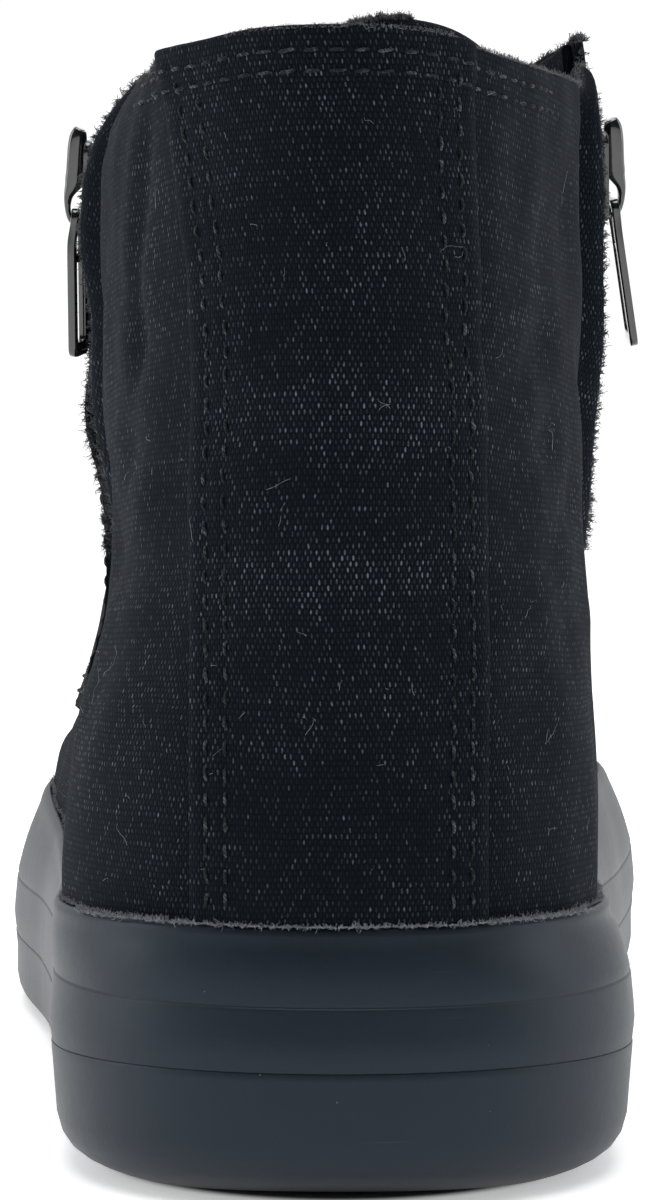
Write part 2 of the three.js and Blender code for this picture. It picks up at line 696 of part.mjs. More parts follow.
function meshOf(name, solid, material) {
  const { numProp, vertProperties, triVerts, numVert } = solid.getMesh();
  const position = new Float32Array(numVert * 3);
  for (let i = 0; i < numVert; i++) {
    position.set(vertProperties.subarray(i * numProp, i * numProp + 3), i * 3);
  }
  const geometry = new THREE.BufferGeometry()
    .setAttribute("position", new THREE.BufferAttribute(position, 3))
    .setIndex(new THREE.BufferAttribute(triVerts, 1));
  geometry.computeVertexNormals();
  const mesh = new THREE.Mesh(geometry, material);
  mesh.name = name;
  return mesh;
}

const sneaker = new THREE.Group();
const add = (name, solid, material) => sneaker.add(meshOf(name, solid, material));
add("outsole", makeOutsole(), rubber);
add("midsole", makeMidsole(), rubber);
add("insole", makeInsole(), lining);
add("upper", makeUpper(), canvas);
add("heel_strip", makeHeelStrip(), canvas);
add("front_panel", makeFrontPanel(), canvas);
add("toe_cap", makeToeCap(), rubber);
add("tongue", makeTongue(), canvas);
add("lace", makeLace(), cord);

const eyeletShape = makeEyelet();
for (const { row, side, seat, normal } of EYELETS) {
  const solid = solidOf(placedAlong(eyeletShape, seat, normal, panelTop + EYELET.lift));
  add(`eyelet_${side > 0 ? "medial" : "lateral"}_${row}`, solid, blackMetal);
}

const sliderShape = makeSliderShape();
const tabShape = makeTabShape();
for (const { word, side, height, rest } of [
  { word: "lateral", side: -1, height: 132, rest: -2.8 },
  { word: "medial", side: 1, height: 133.4, rest: 9.5 },
]) {
  add(`zip_${word}`, makeZip(side), blackMetal);
  const { pivot, basis } = sliderFrame(side, height);
  const group = new THREE.Group();
  group.position.copy(pivot);
  group.quaternion.setFromRotationMatrix(basis);
  const tab = meshOf(`pull_tab_${word}`, tabShape, blackMetal);
  tab.rotation.x = -(rest * Math.PI) / 180; // swung out from the shaft by its rest angle
  group.add(meshOf(`slider_${word}`, sliderShape, blackMetal), tab);
  sneaker.add(group);
}

export default sneaker;
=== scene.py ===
"""The looks of a canvas high top sneaker for the left foot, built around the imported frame.

Lengths are millimetres until a mesh is made: +Z up, toe towards +Y, medial side towards +X.
A place on the upper is (t, turn, out): t counts the last's rows, turn goes round a row from the
back to the toe, positive on the medial side and negative on the lateral side, and out is the
distance out from the last.
"""
import math
import bpy
import numpy as np
from mathutils import Matrix


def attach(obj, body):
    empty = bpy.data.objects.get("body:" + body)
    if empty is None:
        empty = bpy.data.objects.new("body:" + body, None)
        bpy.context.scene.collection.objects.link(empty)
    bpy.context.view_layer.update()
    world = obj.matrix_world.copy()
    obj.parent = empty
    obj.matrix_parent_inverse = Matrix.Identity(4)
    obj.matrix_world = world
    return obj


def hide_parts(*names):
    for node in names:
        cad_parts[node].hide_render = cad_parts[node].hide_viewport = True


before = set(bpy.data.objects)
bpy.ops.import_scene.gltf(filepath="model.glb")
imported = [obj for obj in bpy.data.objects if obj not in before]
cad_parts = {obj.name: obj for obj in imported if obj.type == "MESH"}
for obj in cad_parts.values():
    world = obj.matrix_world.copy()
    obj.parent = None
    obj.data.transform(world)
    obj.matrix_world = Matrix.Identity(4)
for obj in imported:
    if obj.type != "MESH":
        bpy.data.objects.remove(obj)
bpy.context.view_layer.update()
MM = 0.001
MEDIAL, LATERAL = 1, -1
WORDS = {MEDIAL: "medial", LATERAL: "lateral"}
FULL = math.pi

# The camera stands behind the heel and looks a little down
CAMERA_AT = (-1.75, -520, 99)
CAMERA_DROP = 2.608
FOCAL_SHARE = 3864 / 1200

# The shoe's sizes
BALL_DROP = 8.5
TOE_SPRING = 10
HEEL_BEVEL = 6.5
FLOOR_OF_CUP = 24
GAP = 0.3
WALL = 1.9
OVERLAY = 1.1
CAP_THICKNESS = 1.6
LIP = 1.5
TONGUE_THICKNESS = 2.4
TONGUE_MIDDLE = 9
TONGUE_HALF = 19
TONGUE_SHOULDER = 150
TONGUE_CROWN = 12.5
STRIP_SEAMS = (2.3, 4.7)
ZIP_SLOT = 9
RAW_EDGE = 3.4
EYELET_ROWS = 7
WARP_PITCH = 0.36
WEFT_PITCH = 0.765
TOOTH_PITCH = 1.35
STITCH_PITCH = 3.1
STITCH_LENGTH = 2.2

# Each zip: side, word, the slider's height, and the tab's tilt and twist on its bail in degrees
ZIPS = ((LATERAL, "lateral", 132, -2.8, 13), (MEDIAL, "medial", 133.4, 7.8, 4))

# The last, a row for each height at the heel
LEVEL_COLUMNS = ["z", "back", "roundBack", "front", "roundFrom", "heelL", "heelM", "ankleL", "ankleM", "plan"]
LEVELS = np.array([
    [24.5, -36.4, 1, 253.5, 186, 35.4, 33.8, 38.0, 34.8, 0.965],
    [31, -37.2, 1, 256.6, 186, 36.7, 35.0, 39.2, 36.2, 1],
    [38, -37.6, 1, 256.2, 180, 37.1, 35.4, 39.4, 36.6, 0.985],
    [45, -37.7, 2, 250.5, 165, 36.9, 35.3, 39.2, 36.8, 0.955],
    [51.5, -37.5, 3, 236, 140, 36.3, 35.1, 38.6, 36.8, 0.93],
    [58, -36.9, 5, 209, 105, 35.4, 34.9, 37.4, 36.7, 0.9],
    [65, -35.9, 8, 186, 88, 33.9, 34.4, 35.4, 36.6, 0.87],
    [74, -34.4, 11, 167, 76, 31.4, 33.7, 32.9, 36.8, 0.84],
    [86, -32.8, 15, 146, 66, 30.2, 32.5, 33.1, 38.1, 0.815],
    [102, -31.6, 19, 125, 58, 30.2, 31.4, 35.9, 38.6, 0.8],
    [122, -31.4, 23, 108.5, 53, 30.5, 31.0, 35.9, 38.4, 0.78],
    [142, -32.4, 25, 99.5, 50, 30.5, 31.0, 34.4, 37.6, 0.76],
    [172, -34.9, 26, 91, 47, 28.4, 30.1, 25.5, 33, 0.72],
])
TOP_ROW = len(LEVELS) - 1
SOLE_OUTLINE = dict(zip(LEVEL_COLUMNS, [20, -40.4, 0, 261.5, 186, 39, 40, 42, 41, 1.085]))
PLAN = {"y": [100, 150, 200, 250], "lateral": [44, 52.2, 49.5, 46], "medial": [38.5, 45.2, 48, 44.5]}
SIDE_HEIGHTS = {
    "y": [-40, 15, 75, 140, 200, 261],
    "low_line": [17.5, 15.6, 13, 12, 12.5, 20],
    "high_line": [26.5, 25.4, 23, 21.5, 22, 29],
    "top": [36, 35, 31.6, 36.5, 37.8, 41],
}
COLLAR = {
    "y": [-60, -31, -24, -12, 12, 32, 41, 45, 47, 51, 62, 80, 130],
    "lateral": [150.2, 148.7, 147.7, 147.2, 147.2, 148, 149.8, 151.2, 151.4, 151.4, 150.8, 150.4, 150],
    "medial": [150.2, 148.7, 147.4, 146.3, 146.4, 147.4, 151.2, 150.2, 147.5, 154.8, 154.6, 151.6, 150],
}
PANEL_LOW = {"y": [60, 70, 84, 110, 140, 166, 184, 196, 215], "z": [63.5, 60.5, 56, 52.5, 52, 53, 52, 60, 72]}
STRIP_EDGES = {
    "z": [30, 95, 112, 130, 132, 150, 160],
    "medial": [18.5, 18.5, 17.8, 16.9, 16.8, 16.5, 16.4],
    "lateral": [18.5, 18.5, 18.5, 20.2, 20.5, 23.1, 24],
}


# Curves and the last's surface
def smooth(u):
    c = np.clip(u, 0, 1)
    return c * c * (3 - 2 * c)


def mix(a, b, u):
    return a + (b - a) * u


def spline_at(xs, ys, x):
    """Hermite curve through (xs, ys) at x, level beyond both ends. Each of ys may vary with x."""
    xs = np.asarray(xs, float)
    shape = np.shape(x)
    x = np.clip(np.atleast_1d(x), xs[0], xs[-1])
    ys = np.stack([np.broadcast_to(np.asarray(y, float), x.shape) for y in ys])
    last = len(xs) - 1
    i = np.clip(np.searchsorted(xs, x, side="right") - 1, 0, last - 1)

    def value(k):
        return np.take_along_axis(ys, k[None], 0)[0]

    def slope(k):
        before = np.maximum(k - 1, 0)
        after = np.minimum(k + 1, last)
        return (value(after) - value(before)) / (xs[after] - xs[before])

    h = xs[i + 1] - xs[i]
    u = (x - xs[i]) / h
    found = (
        (1 + 2 * u) * (1 - u) ** 2 * value(i)
        + u * (1 - u) ** 2 * h * slope(i)
        + u * u * (3 - 2 * u) * value(i + 1)
        + u * u * (u - 1) * h * slope(i + 1)
    )
    return found.reshape(shape)


def level_at(t):
    rows = np.arange(len(LEVELS))
    return {key: spline_at(rows, LEVELS[:, k], t) for k, key in enumerate(LEVEL_COLUMNS)}


def row_where(key, value):
    """The t at which a column of LEVELS has this value"""
    ts = np.linspace(2 if key == "front" else 0, TOP_ROW, 2001)
    found = level_at(ts)[key]
    if found[0] > found[-1]:
        return float(np.interp(-value, -found, ts))
    return float(np.interp(value, found, ts))


def toe_lift(y):
    return np.maximum(0, (y - 180) / 80) ** 2


def pitch(y):
    return -BALL_DROP * smooth((y - 10) / 160) + BALL_DROP * toe_lift(y)


def sole_bottom(y):
    return TOE_SPRING * toe_lift(y) + HEEL_BEVEL * np.maximum(0, (-12 - y) / 28) ** 2


def toe_swing(y):
    return 6 * smooth((y - 110) / 150)


def side_height(key, y):
    return spline_at(SIDE_HEIGHTS["y"], SIDE_HEIGHTS[key], y)


def half_width(row, side, y):
    heel = np.where(side > 0, row["heelM"], row["heelL"])
    ankle = np.where(side > 0, row["ankleM"], row["ankleL"])
    ahead = [row["plan"] * np.where(side > 0, m, l) for m, l in zip(PLAN["medial"], PLAN["lateral"])]
    return spline_at([-40, 0, 50, *PLAN["y"]], [heel, heel, ankle, *ahead], y)


def closing(q, power):
    return np.sqrt(np.maximum(0, 1 - np.maximum(0, q) ** power))


def ring(row, turn):
    """The point of a row's ring at turn"""
    y = row["back"] + (row["front"] - row["back"]) * (1 - np.cos(turn)) / 2
    side = np.where(np.sin(turn) >= 0, 1, -1)
    x = side * half_width(row, side, y)
    x = x * closing((row["roundBack"] - y) / (row["roundBack"] - row["back"]), 2.2)
    x = x * closing((y - row["roundFrom"]) / (row["front"] - row["roundFrom"]), 2.15)
    return np.stack([x + toe_swing(y), y, row["z"] + pitch(y)], -1)


def unit(v):
    return v / np.maximum(np.linalg.norm(v, axis=-1, keepdims=True), 1e-9)


def frame_at(t, turn):
    """The last's points and outward normals"""
    step = 0.02
    row = level_at(t)
    up = ring(level_at(np.minimum(TOP_ROW, t + step)), turn) - ring(level_at(np.maximum(0, t - step)), turn)
    along = ring(row, turn + step) - ring(row, turn - step)
    return ring(row, turn), unit(np.cross(along, up))


def surface(t, turn, out):
    point, normal = frame_at(t, turn)
    return point + normal * np.asarray(out)[..., None]


def tabulate(function, low, high, count=241):
    """function from a table of its values between low and high"""
    xs = np.linspace(low, high, count)
    ys = function(xs)
    return lambda x: np.interp(x, xs, ys)


def halving(low, high, short_of):
    """Where short_of stops being true, between the arrays low and high"""
    for _ in range(26):
        middle = (low + high) / 2
        short = short_of(middle)
        low = np.where(short, middle, low)
        high = np.where(short, high, middle)
    return low


def zip_at(z):
    """The zip's middle line from the side"""
    return mix(66, 47, (z - 61) / 114)


def side_line(line, side):
    """The turn at which a row reaches y = line(z), as a function of t"""

    def turns(t):
        row = level_at(t)
        y = line(row["z"])
        for _ in range(4):
            y = line(row["z"] + pitch(y))
        share = np.clip((y - row["back"]) / (row["front"] - row["back"]), 0, 1)
        return side * np.arccos(1 - 2 * share)

    return tabulate(turns, 0, TOP_ROW)


def row_line(height, first, last):
    """The t at which the surface reaches z = height(y, side), as a function of turn"""

    def rows(turn):
        side = np.where(np.sin(turn) >= 0, "medial", "lateral")

        def below(t):
            p = ring(level_at(t), turn)
            return p[..., 2] < height(p[..., 1], side)

        return halving(np.zeros_like(turn), np.full_like(turn, TOP_ROW), below)

    return tabulate(rows, first, last, 361)


def offset_line(half, side):
    """The turn at which a row is half(t) to the side of its front end, as a function of t"""

    def turns(t):
        row = level_at(t)
        middle = ring(row, np.full_like(t, math.pi))[..., 0]

        def wide(turn):
            return np.abs(ring(row, side * turn)[..., 0] - middle) > half(t)

        return side * halving(np.full_like(t, 1.4), np.full_like(t, math.pi), wide)

    return tabulate(turns, 0, TOP_ROW)


def back_line(reach, side):
    """The turn at which a row is reach(z) to the side of its back end, as a function of t"""

    def turns(t):
        row = level_at(t)

        def near(turn):
            return np.abs(ring(row, side * turn)[..., 0]) < reach(row["z"])

        return side * halving(np.zeros_like(t), np.full_like(t, 1.2), near)

    return tabulate(turns, 0, TOP_ROW)


def collar_height(drop=0.0):
    def height(y, side):
        medial = spline_at(COLLAR["y"], COLLAR["medial"], y)
        lateral = spline_at(COLLAR["y"], COLLAR["lateral"], y)
        return np.where(side == "medial", medial, lateral) - drop

    return height


def level_line(z):
    return lambda y, side: np.full_like(y, z)


def wall_top(lift=0.0):
    return lambda y, side: side_height("top", y) + lift


def panel_low(lift=0.0):
    return lambda y, side: spline_at(PANEL_LOW["y"], PANEL_LOW["z"], y) + lift


THROAT_ROW = row_where("front", 168)


def throat_half(extra):
    """Half the throat's width, which opens quickly above its round bottom end"""

    def half(t):
        u = np.clip((t - THROAT_ROW) / (TOP_ROW - THROAT_ROW), 0, 1)
        opening = np.sqrt(smooth((t - THROAT_ROW) / 0.3))
        return np.maximum(0.001, (mix(7, 12.5, np.sqrt(u)) + extra) * opening)

    return half


# Cloth relief
def ripple(points, wavelength, seed):
    """A smooth random unevenness of about 1"""
    rng = np.random.default_rng(seed)
    total = np.zeros(points.shape[:-1])
    for _ in range(7):
        direction = unit(rng.normal(size=3))
        wave = 2 * math.pi / (wavelength * rng.uniform(0.7, 1.6))
        total += np.sin(points @ direction * wave + rng.uniform(0, 6.28))
    return total / 2.6


def unrolled(points):
    """How far round from the back a point is, lateral side negative"""
    x, y = points[..., 0], points[..., 1]
    return x + np.sign(x) * np.maximum(0, y + 14)


# Soft folds, each from (s0, z0) to (s1, z1) with its depth and half-width. s is unrolled from the back.
STRIP_CREASES = [
    [-22, 121, 14, 118, 0.35, 4.5],
    [-16, 109, 20, 112, 0.55, 4.0],
    [-19, 100, 8, 97, 0.4, 3.5],
    [-6, 91, 19, 94, 0.5, 3.8],
    [-19, 84, 12, 82, 0.35, 3.2],
    [-8, 76, 19, 78, 0.3, 3.2],
    [-15, 66, 10, 67, 0.25, 3.5],
]
QUARTER_CREASES = [
    [20, 103, 46, 112, 0.8, 3.4],
    [19, 92, 42, 99, 0.65, 3.2],
    [24, 82, 52, 88, 0.7, 3.8],
    [22, 70, 50, 74, 0.45, 4.0],
    [30, 122, 58, 130, 0.5, 5.0],
    [-22, 106, -50, 118, 0.6, 4.2],
    [-20, 92, -46, 98, 0.7, 3.8],
    [-21, 80, -52, 82, 0.8, 4.5],
    [-24, 68, -54, 66, 0.4, 4.0],
    [-32, 140, -38, 104, 0.9, 4.0],
    [-58, 128, -84, 108, 0.7, 5.0],
    [60, 112, 84, 96, 0.7, 5.0],
]
FRONT_CREASES = [
    [100, 84, 128, 100, 0.8, 5.0],
    [96, 70, 140, 80, 0.9, 6.0],
    [110, 108, 130, 122, 0.5, 5.0],
    [-98, 82, -130, 98, 0.8, 5.0],
    [-96, 70, -142, 78, 0.9, 6.0],
    [-108, 108, -130, 124, 0.5, 5.0],
    [190, 46, 226, 58, 0.7, 5.0],
    [-190, 46, -228, 58, 0.7, 5.0],
]


def folds(points, creases):
    """Troughs with a ridge above each, by the table"""
    s = unrolled(points)
    z = points[..., 2]
    total = np.zeros(s.shape)
    for s0, z0, s1, z1, depth, width in creases:
        length = math.hypot(s1 - s0, z1 - z0)
        along = ((s - s0) * (s1 - s0) + (z - z0) * (z1 - z0)) / length
        across = ((z - z0) * (s1 - s0) - (s - s0) * (z1 - z0)) / length * math.copysign(1, s1 - s0)
        fade = smooth((along + 5) / 12) * smooth((length + 5 - along) / 12)
        bend = across + 1.2 * np.sin(along * 0.16 + z0)
        trough = np.exp(-((bend / width) ** 2))
        ridge = np.exp(-(((bend - 1.9 * width) / (1.3 * width)) ** 2))
        total += depth * fade * (0.55 * ridge - trough)
    return total


def top_lean(p):
    """How far the lateral side leans in over its top"""
    height = np.maximum(0, (p[..., 2] - 134) / 16) ** 1.6
    along = smooth((p[..., 1] + 24) / 34) * (1 - smooth((p[..., 1] - 56) / 22))
    return np.where(p[..., 0] < 0, 5.4 * height * along, 0)


def zip_valley(p):
    """How far the quarters sink in beside the zips. Their raw edge stands up again along the zip."""
    medial = p[..., 0] > 0
    z = p[..., 2]
    depth = np.where(medial, 4.2 + 1.8 * smooth((z - 108) / 26), 2.4)
    ahead = np.where(medial, smooth((p[..., 1] - 16) / 22), smooth((p[..., 1] - 24) / 18))
    to_edge = zip_at(z) - ZIP_SLOT / 2 - p[..., 1]
    above = 1 - 0.8 * smooth((z - 143) / 5)
    return depth * ahead * smooth((to_edge - 0.3) / 4.2) * smooth((z - 70) / 18) * above


def edge_rise(p):
    """How far the quarters' raw edges stand up beside the sliders"""
    to_edge = zip_at(p[..., 2]) - ZIP_SLOT / 2 - p[..., 1]
    high = np.where(p[..., 0] > 0, 0.9 * smooth((p[..., 2] - 92) / 20), 2.0 * smooth((p[..., 2] - 112) / 14))
    return high * smooth(1 - (to_edge - 0.3) / 4.2)


def quarter_out(t, turn):
    """The quarters' outside, with the hem at the collar"""
    p, _ = frame_at(t, turn)
    hem = 0.35 * smooth((p[..., 2] - 138.5) / 1.6)
    shape = folds(p, QUARTER_CREASES) + 0.22 * ripple(p, 17, 3) + edge_rise(p)
    return shape + hem - zip_valley(p) - top_lean(p) - 0.1


def strip_edge(key, inset=0.0):
    """How far to the side the heel strip's edge is at height z, less inset"""
    return lambda z: spline_at(STRIP_EDGES["z"], STRIP_EDGES[key], z) - inset


def strip_out(t, turn):
    """The heel strip's outside, drawn in along its four rows of stitches"""
    p, _ = frame_at(t, turn)
    hem = 0.35 * smooth((p[..., 2] - 142.2) / 1.2)
    x, z = p[..., 0], p[..., 2]
    edge = np.where(x > 0, strip_edge("medial")(z), strip_edge("lateral")(z))
    inset = edge - np.abs(x)
    sewn = sum(np.exp(-(((inset - seam_at) / 0.6) ** 2)) for seam_at in STRIP_SEAMS)
    return GAP + OVERLAY + folds(p, STRIP_CREASES) + 0.12 * ripple(p, 14, 5) + hem - 0.14 * sewn


def front_out(t, turn):
    p, _ = frame_at(t, turn)
    return folds(p, FRONT_CREASES) + 0.2 * ripple(p, 19, 7) - top_lean(p) - 0.15


def panel_out(t, turn):
    """The front panels' outside"""
    p, _ = frame_at(t, turn)
    return GAP + OVERLAY + 0.6 * folds(p, FRONT_CREASES) + 0.22 * ripple(p, 13, 9) - top_lean(p)


# Meshes
def lengths_on(grid, middle):
    """Lengths along the rows from the middle column, and up the columns from the first row"""
    along = np.cumsum(np.linalg.norm(np.diff(grid, axis=1), axis=2), axis=1)
    along = np.pad(along, ((0, 0), (1, 0)))
    upward = np.cumsum(np.linalg.norm(np.diff(grid, axis=0), axis=2), axis=0)
    upward = np.pad(upward, ((1, 0), (0, 0)))
    return np.stack([along - along[:, middle][:, None], upward + grid[0, :, 2]], -1)


# Soft places where the cloth's crests are painted paler, partly painted highlight where the heel strip's
# folds and the quarters' sides catch the light, partly rubbed wear: s, z, half sizes along and up, and
# strength
WEAR_AND_HIGHLIGHT_PLACES = [
    [2, 99.5, 17, 6, 0.9], [1, 79.5, 17, 5.5, 1.0], [0, 66, 16, 4, 0.45], [0, 140, 22, 5, 0.35],
    [4, 118, 9, 5, 0.25], [-30, 126, 6, 14, 0.8], [-34, 92, 10, 16, 0.45], [-40, 60, 14, 16, 0.5],
    [36, 112, 12, 18, 0.35], [44, 88, 14, 12, 0.4], [42, 56, 16, 16, 0.4], [-60, 100, 16, 20, 0.4],
    [110, 90, 26, 18, 0.5], [-110, 90, 26, 18, 0.5], [200, 56, 30, 16, 0.6], [-200, 56, 30, 16, 0.6],
]


# How much the crests are painted paler here: painted highlight and wear
def wear_and_highlight_at(points):
    s, z = unrolled(points), points[..., 2]
    total = np.zeros(s.shape)
    for s0, z0, along, up, strength in WEAR_AND_HIGHLIGHT_PLACES:
        total += strength * np.exp(-(((s - s0) / along) ** 2) - ((z - z0) / up) ** 2)
    return np.minimum(1, total)


def add_object(name, data):
    made = bpy.data.objects.new(name, data)
    bpy.context.scene.collection.objects.link(made)
    return made


def mesh_from(name, points, faces, lengths=None, raw=None, slots=None, sharp=50):
    """A mesh object in metres, with the cloth's own lengths as its UV map, and its raw edges and its pale
    patches of wear and painted highlight as attributes
    """
    mesh = bpy.data.meshes.new(name)
    points = np.asarray(points)
    mesh.from_pydata((points * MM).tolist(), [], [list(map(int, f)) for f in faces])
    mesh.update()
    if lengths is not None:
        corners = np.empty(len(mesh.loops), np.int32)
        mesh.loops.foreach_get("vertex_index", corners)
        mesh.uv_layers.new(name="cloth").data.foreach_set("uv", np.asarray(lengths)[corners].ravel())
    if raw is not None:
        mesh.attributes.new("raw", "FLOAT", "POINT").data.foreach_set("value", np.asarray(raw, float).ravel())
        # The pale patches on the crests: painted highlight and wear
        mesh.attributes.new("wear_and_highlight", "FLOAT", "POINT").data.foreach_set("value", wear_and_highlight_at(points))
    mesh.polygons.foreach_set("use_smooth", np.ones(len(mesh.polygons), bool))
    if slots is not None:
        mesh.polygons.foreach_set("material_index", slots)
    mesh.set_sharp_from_angle(angle=math.radians(sharp))
    return add_object(name, mesh)


def grid_faces(rows, columns, first=0, wrap_rows=False, wrap_columns=False):
    """Quads of a grid of points, rows upwards"""
    r = np.arange(rows if wrap_rows else rows - 1)
    c = np.arange(columns if wrap_columns else columns - 1)
    r, c = [a.ravel() for a in np.meshgrid(r, c, indexing="ij")]
    up = (r + 1) % rows
    on = (c + 1) % columns
    return first + np.stack([r * columns + c, r * columns + on, up * columns + on, up * columns + c], 1)


def patch(left, right, low, high, columns, rows):
    """Grids of t and turn that fill the patch between two side lines and two row lines"""
    u, v = np.meshgrid(np.linspace(0, 1, columns), np.linspace(0, 1, rows))
    t = mix(2.0, 11.0, v)
    for _ in range(9):
        turn = mix(left(t), right(t), u)
        t = mix(t, mix(low(turn), high(turn), v), 0.8)
    return t, turn


class Bundle:
    """Collects the points and faces of one mesh"""

    def __init__(self):
        self.points = []
        self.faces = []
        self.lengths = []
        self.raw = []
        self.slots = []
        self.count = 0

    def add(self, points, faces, lengths=None, raw=None, slots=0):
        points = np.asarray(points).reshape(-1, 3)
        self.points.append(points)
        self.faces.extend((np.asarray(f) + self.count) for f in faces)
        lengths = np.zeros((len(points), 2)) if lengths is None else np.asarray(lengths).reshape(-1, 2)
        self.lengths.append(lengths)
        self.raw.append(np.zeros(len(points)) if raw is None else np.broadcast_to(raw, len(points)))
        self.slots.append(np.broadcast_to(slots, len(faces)))
        self.count += len(points)

    def make(self, name, sharp=50):
        return mesh_from(
            name,
            np.concatenate(self.points),
            self.faces,
            np.concatenate(self.lengths),
            np.concatenate(self.raw),
            np.concatenate(self.slots),
            sharp,
        )


def round_edge(a, b, up, steps, swell):
    """Rows from a over a round edge to b"""
    centre = (a + b) / 2
    angles = math.pi * np.arange(1, steps + 1) / (steps + 1)
    radius = np.linalg.norm(a - b, axis=-1, keepdims=True) / 2
    return [centre + (a - centre) * math.cos(q) + unit(up) * radius * math.sin(q) * swell for q in angles]


def cloth(bundle, t, turn, outer, inner, middle=0, top=5, bottom=1, top_swell=1.0, lining=False,
          raw_sides=0.0, raw_ends=0.0):
    """Adds a closed sheet: its outside, a round top edge, its inside and its bottom edge"""
    outside = surface(t, turn, outer)
    inside = surface(t, turn, inner)[::-1]
    rows, columns = t.shape
    over = round_edge(outside[-1], inside[0], outside[-1] - outside[-3], top, top_swell)
    under = round_edge(inside[-1], outside[0], outside[0] - outside[2], bottom, 0.7)
    grid = np.concatenate([outside, np.array(over), inside, np.array(under)])
    total = len(grid)
    faces = list(grid_faces(total, columns, wrap_rows=True))
    slots = np.zeros(len(faces), int)
    if lining:
        drop = rows + top + 9
        slots[drop * (columns - 1):(total - bottom) * (columns - 1)] = 1
    for column, flip in ((0, True), (columns - 1, False)):
        back = 2 * rows + top - 1
        ends = [[j, j + 1, back - j - 1, back - j] for j in range(rows - 1)]
        ends.append([rows - 1, *range(rows, rows + top), rows + top])
        ends.append([back, *range(back + 1, back + 1 + bottom), 0])
        for face in ends:
            looped = [row * columns + column for row in face]
            faces.append(looped if flip else looped[::-1])
    slots = np.concatenate([slots, np.zeros(len(faces) - len(slots), int)])
    lengths = lengths_on(grid, middle)
    from_side = np.minimum(lengths[..., 0] - lengths[:, :1, 0], lengths[:, -1:, 0] - lengths[..., 0])
    raw = raw_sides * np.exp(-from_side / 0.9)
    from_end = np.abs(lengths[..., 1] - lengths[rows - 1, :, 1][None])
    raw = np.maximum(raw, raw_ends * np.exp(-from_end / 0.9))
    bundle.add(grid, faces, lengths, raw.ravel(), slots)
    return outside


def loft(bundle, loops, closed=False, caps=True, slots=0):
    """Adds a skin through loops of equally many points, counter-clockwise seen against the way they go"""
    loops = np.asarray(loops)
    rows, columns, _ = loops.shape
    faces = list(grid_faces(rows, columns, wrap_rows=closed, wrap_columns=True))
    if caps and not closed:
        faces.append(np.arange(columns)[::-1])
        faces.append((rows - 1) * columns + np.arange(columns))
    lengths = np.zeros((rows, columns, 2))
    around = np.pad(np.cumsum(np.linalg.norm(np.diff(loops, axis=1), axis=2), axis=1), ((0, 0), (1, 0)))
    forward = np.pad(np.cumsum(np.linalg.norm(np.diff(loops, axis=0), axis=2), axis=0), ((1, 0), (0, 0)))
    lengths[..., 0] = around
    lengths[..., 1] = forward
    bundle.add(loops, faces, lengths, slots=slots)


def signed_power(values, power):
    return np.sign(values) * np.abs(values) ** power


def sweep(bundle, path, sides, overs, half_widths, half_heights, corners=12, power=2.6):
    """Adds a band with a rounded flat section along path"""
    angles = np.linspace(0, 2 * math.pi, corners, endpoint=False)
    a = signed_power(np.cos(angles), 2 / power)
    b = signed_power(np.sin(angles), 2 / power)
    path, sides, overs = (np.asarray(v) for v in (path, sides, overs))
    w = np.broadcast_to(half_widths, len(path))
    h = np.broadcast_to(half_heights, len(path))
    loops = (
        path[:, None]
        + sides[:, None] * (w[:, None] * a)[..., None]
        + overs[:, None] * (h[:, None] * b)[..., None]
    )
    loft(bundle, loops)


def arc_lengths(points):
    """How far along a line each of its points is"""
    return np.concatenate([[0], np.cumsum(np.linalg.norm(np.diff(points, axis=0), axis=1))])


def stitch_places(points, normals, seed):
    """Middles and axes of the stitches of one row along points"""
    rng = np.random.default_rng(seed)
    lengths = arc_lengths(points)
    count = int(lengths[-1] / STITCH_PITCH)
    if count < 1:
        return []
    at = (np.arange(count) + 0.5) * lengths[-1] / count + rng.uniform(-0.12, 0.12, count)

    def along_line(values, where):
        return np.stack([np.interp(where, lengths, values[:, k]) for k in range(3)], 1)

    heading = along_line(points, at + 0.4) - along_line(points, at - 0.4)
    up = unit(along_line(normals, at))
    side = unit(np.cross(up, heading))
    lean = rng.normal(0.07, 0.05, count)[:, None]
    forward = unit(np.cross(side, up) + side * lean)
    side = np.cross(up, forward)
    ranges = ((0.86, 1.06), (0.85, 1.1), (0.8, 1.1))
    size = np.stack([rng.uniform(least, most, count) for least, most in ranges], 1)
    return [(along_line(points, at) + up * 0.02, forward, side, up, size)]


def place_points(name, found):
    """Loose points that carry the turn and the size of what stands on them"""
    points, x_axes, y_axes, z_axes, sizes = (np.concatenate(column) for column in zip(*found))
    mesh = bpy.data.meshes.new(name)
    mesh.from_pydata((points * MM).tolist(), [], [])
    axes = np.stack([x_axes, y_axes, z_axes], -1)
    turns = np.array([Matrix(a.tolist()).to_euler() for a in axes])
    for key, values in (("turned", turns), ("size", sizes)):
        mesh.attributes.new(key, "FLOAT_VECTOR", "POINT").data.foreach_set("vector", values.ravel())
    return add_object(name, mesh)


# Materials
class Value:
    """A node's output that takes part in sums and products"""

    def __init__(self, graph, socket):
        self.graph = graph
        self.socket = socket

    def maths(self, operation, *others):
        return self.graph.node("ShaderNodeMath", [self, *others], operation=operation)

    def __add__(self, other):
        return self.maths("ADD", other)

    def __sub__(self, other):
        return self.maths("SUBTRACT", other)

    def __rsub__(self, other):
        return self.graph.node("ShaderNodeMath", [other, self], operation="SUBTRACT")

    def __mul__(self, other):
        return self.maths("MULTIPLY", other)

    def __truediv__(self, other):
        return self.maths("DIVIDE", other)

    def __rtruediv__(self, other):
        return self.graph.node("ShaderNodeMath", [other, self], operation="DIVIDE")

    def __pow__(self, other):
        return self.maths("POWER", other)

    __radd__ = __add__
    __rmul__ = __mul__

    def between(self, low, high):
        """0 below low, 1 above high, smooth between"""
        inputs = [self, low, high, 0.0, 1.0]
        return self.graph.node("ShaderNodeMapRange", inputs, interpolation_type="SMOOTHSTEP")


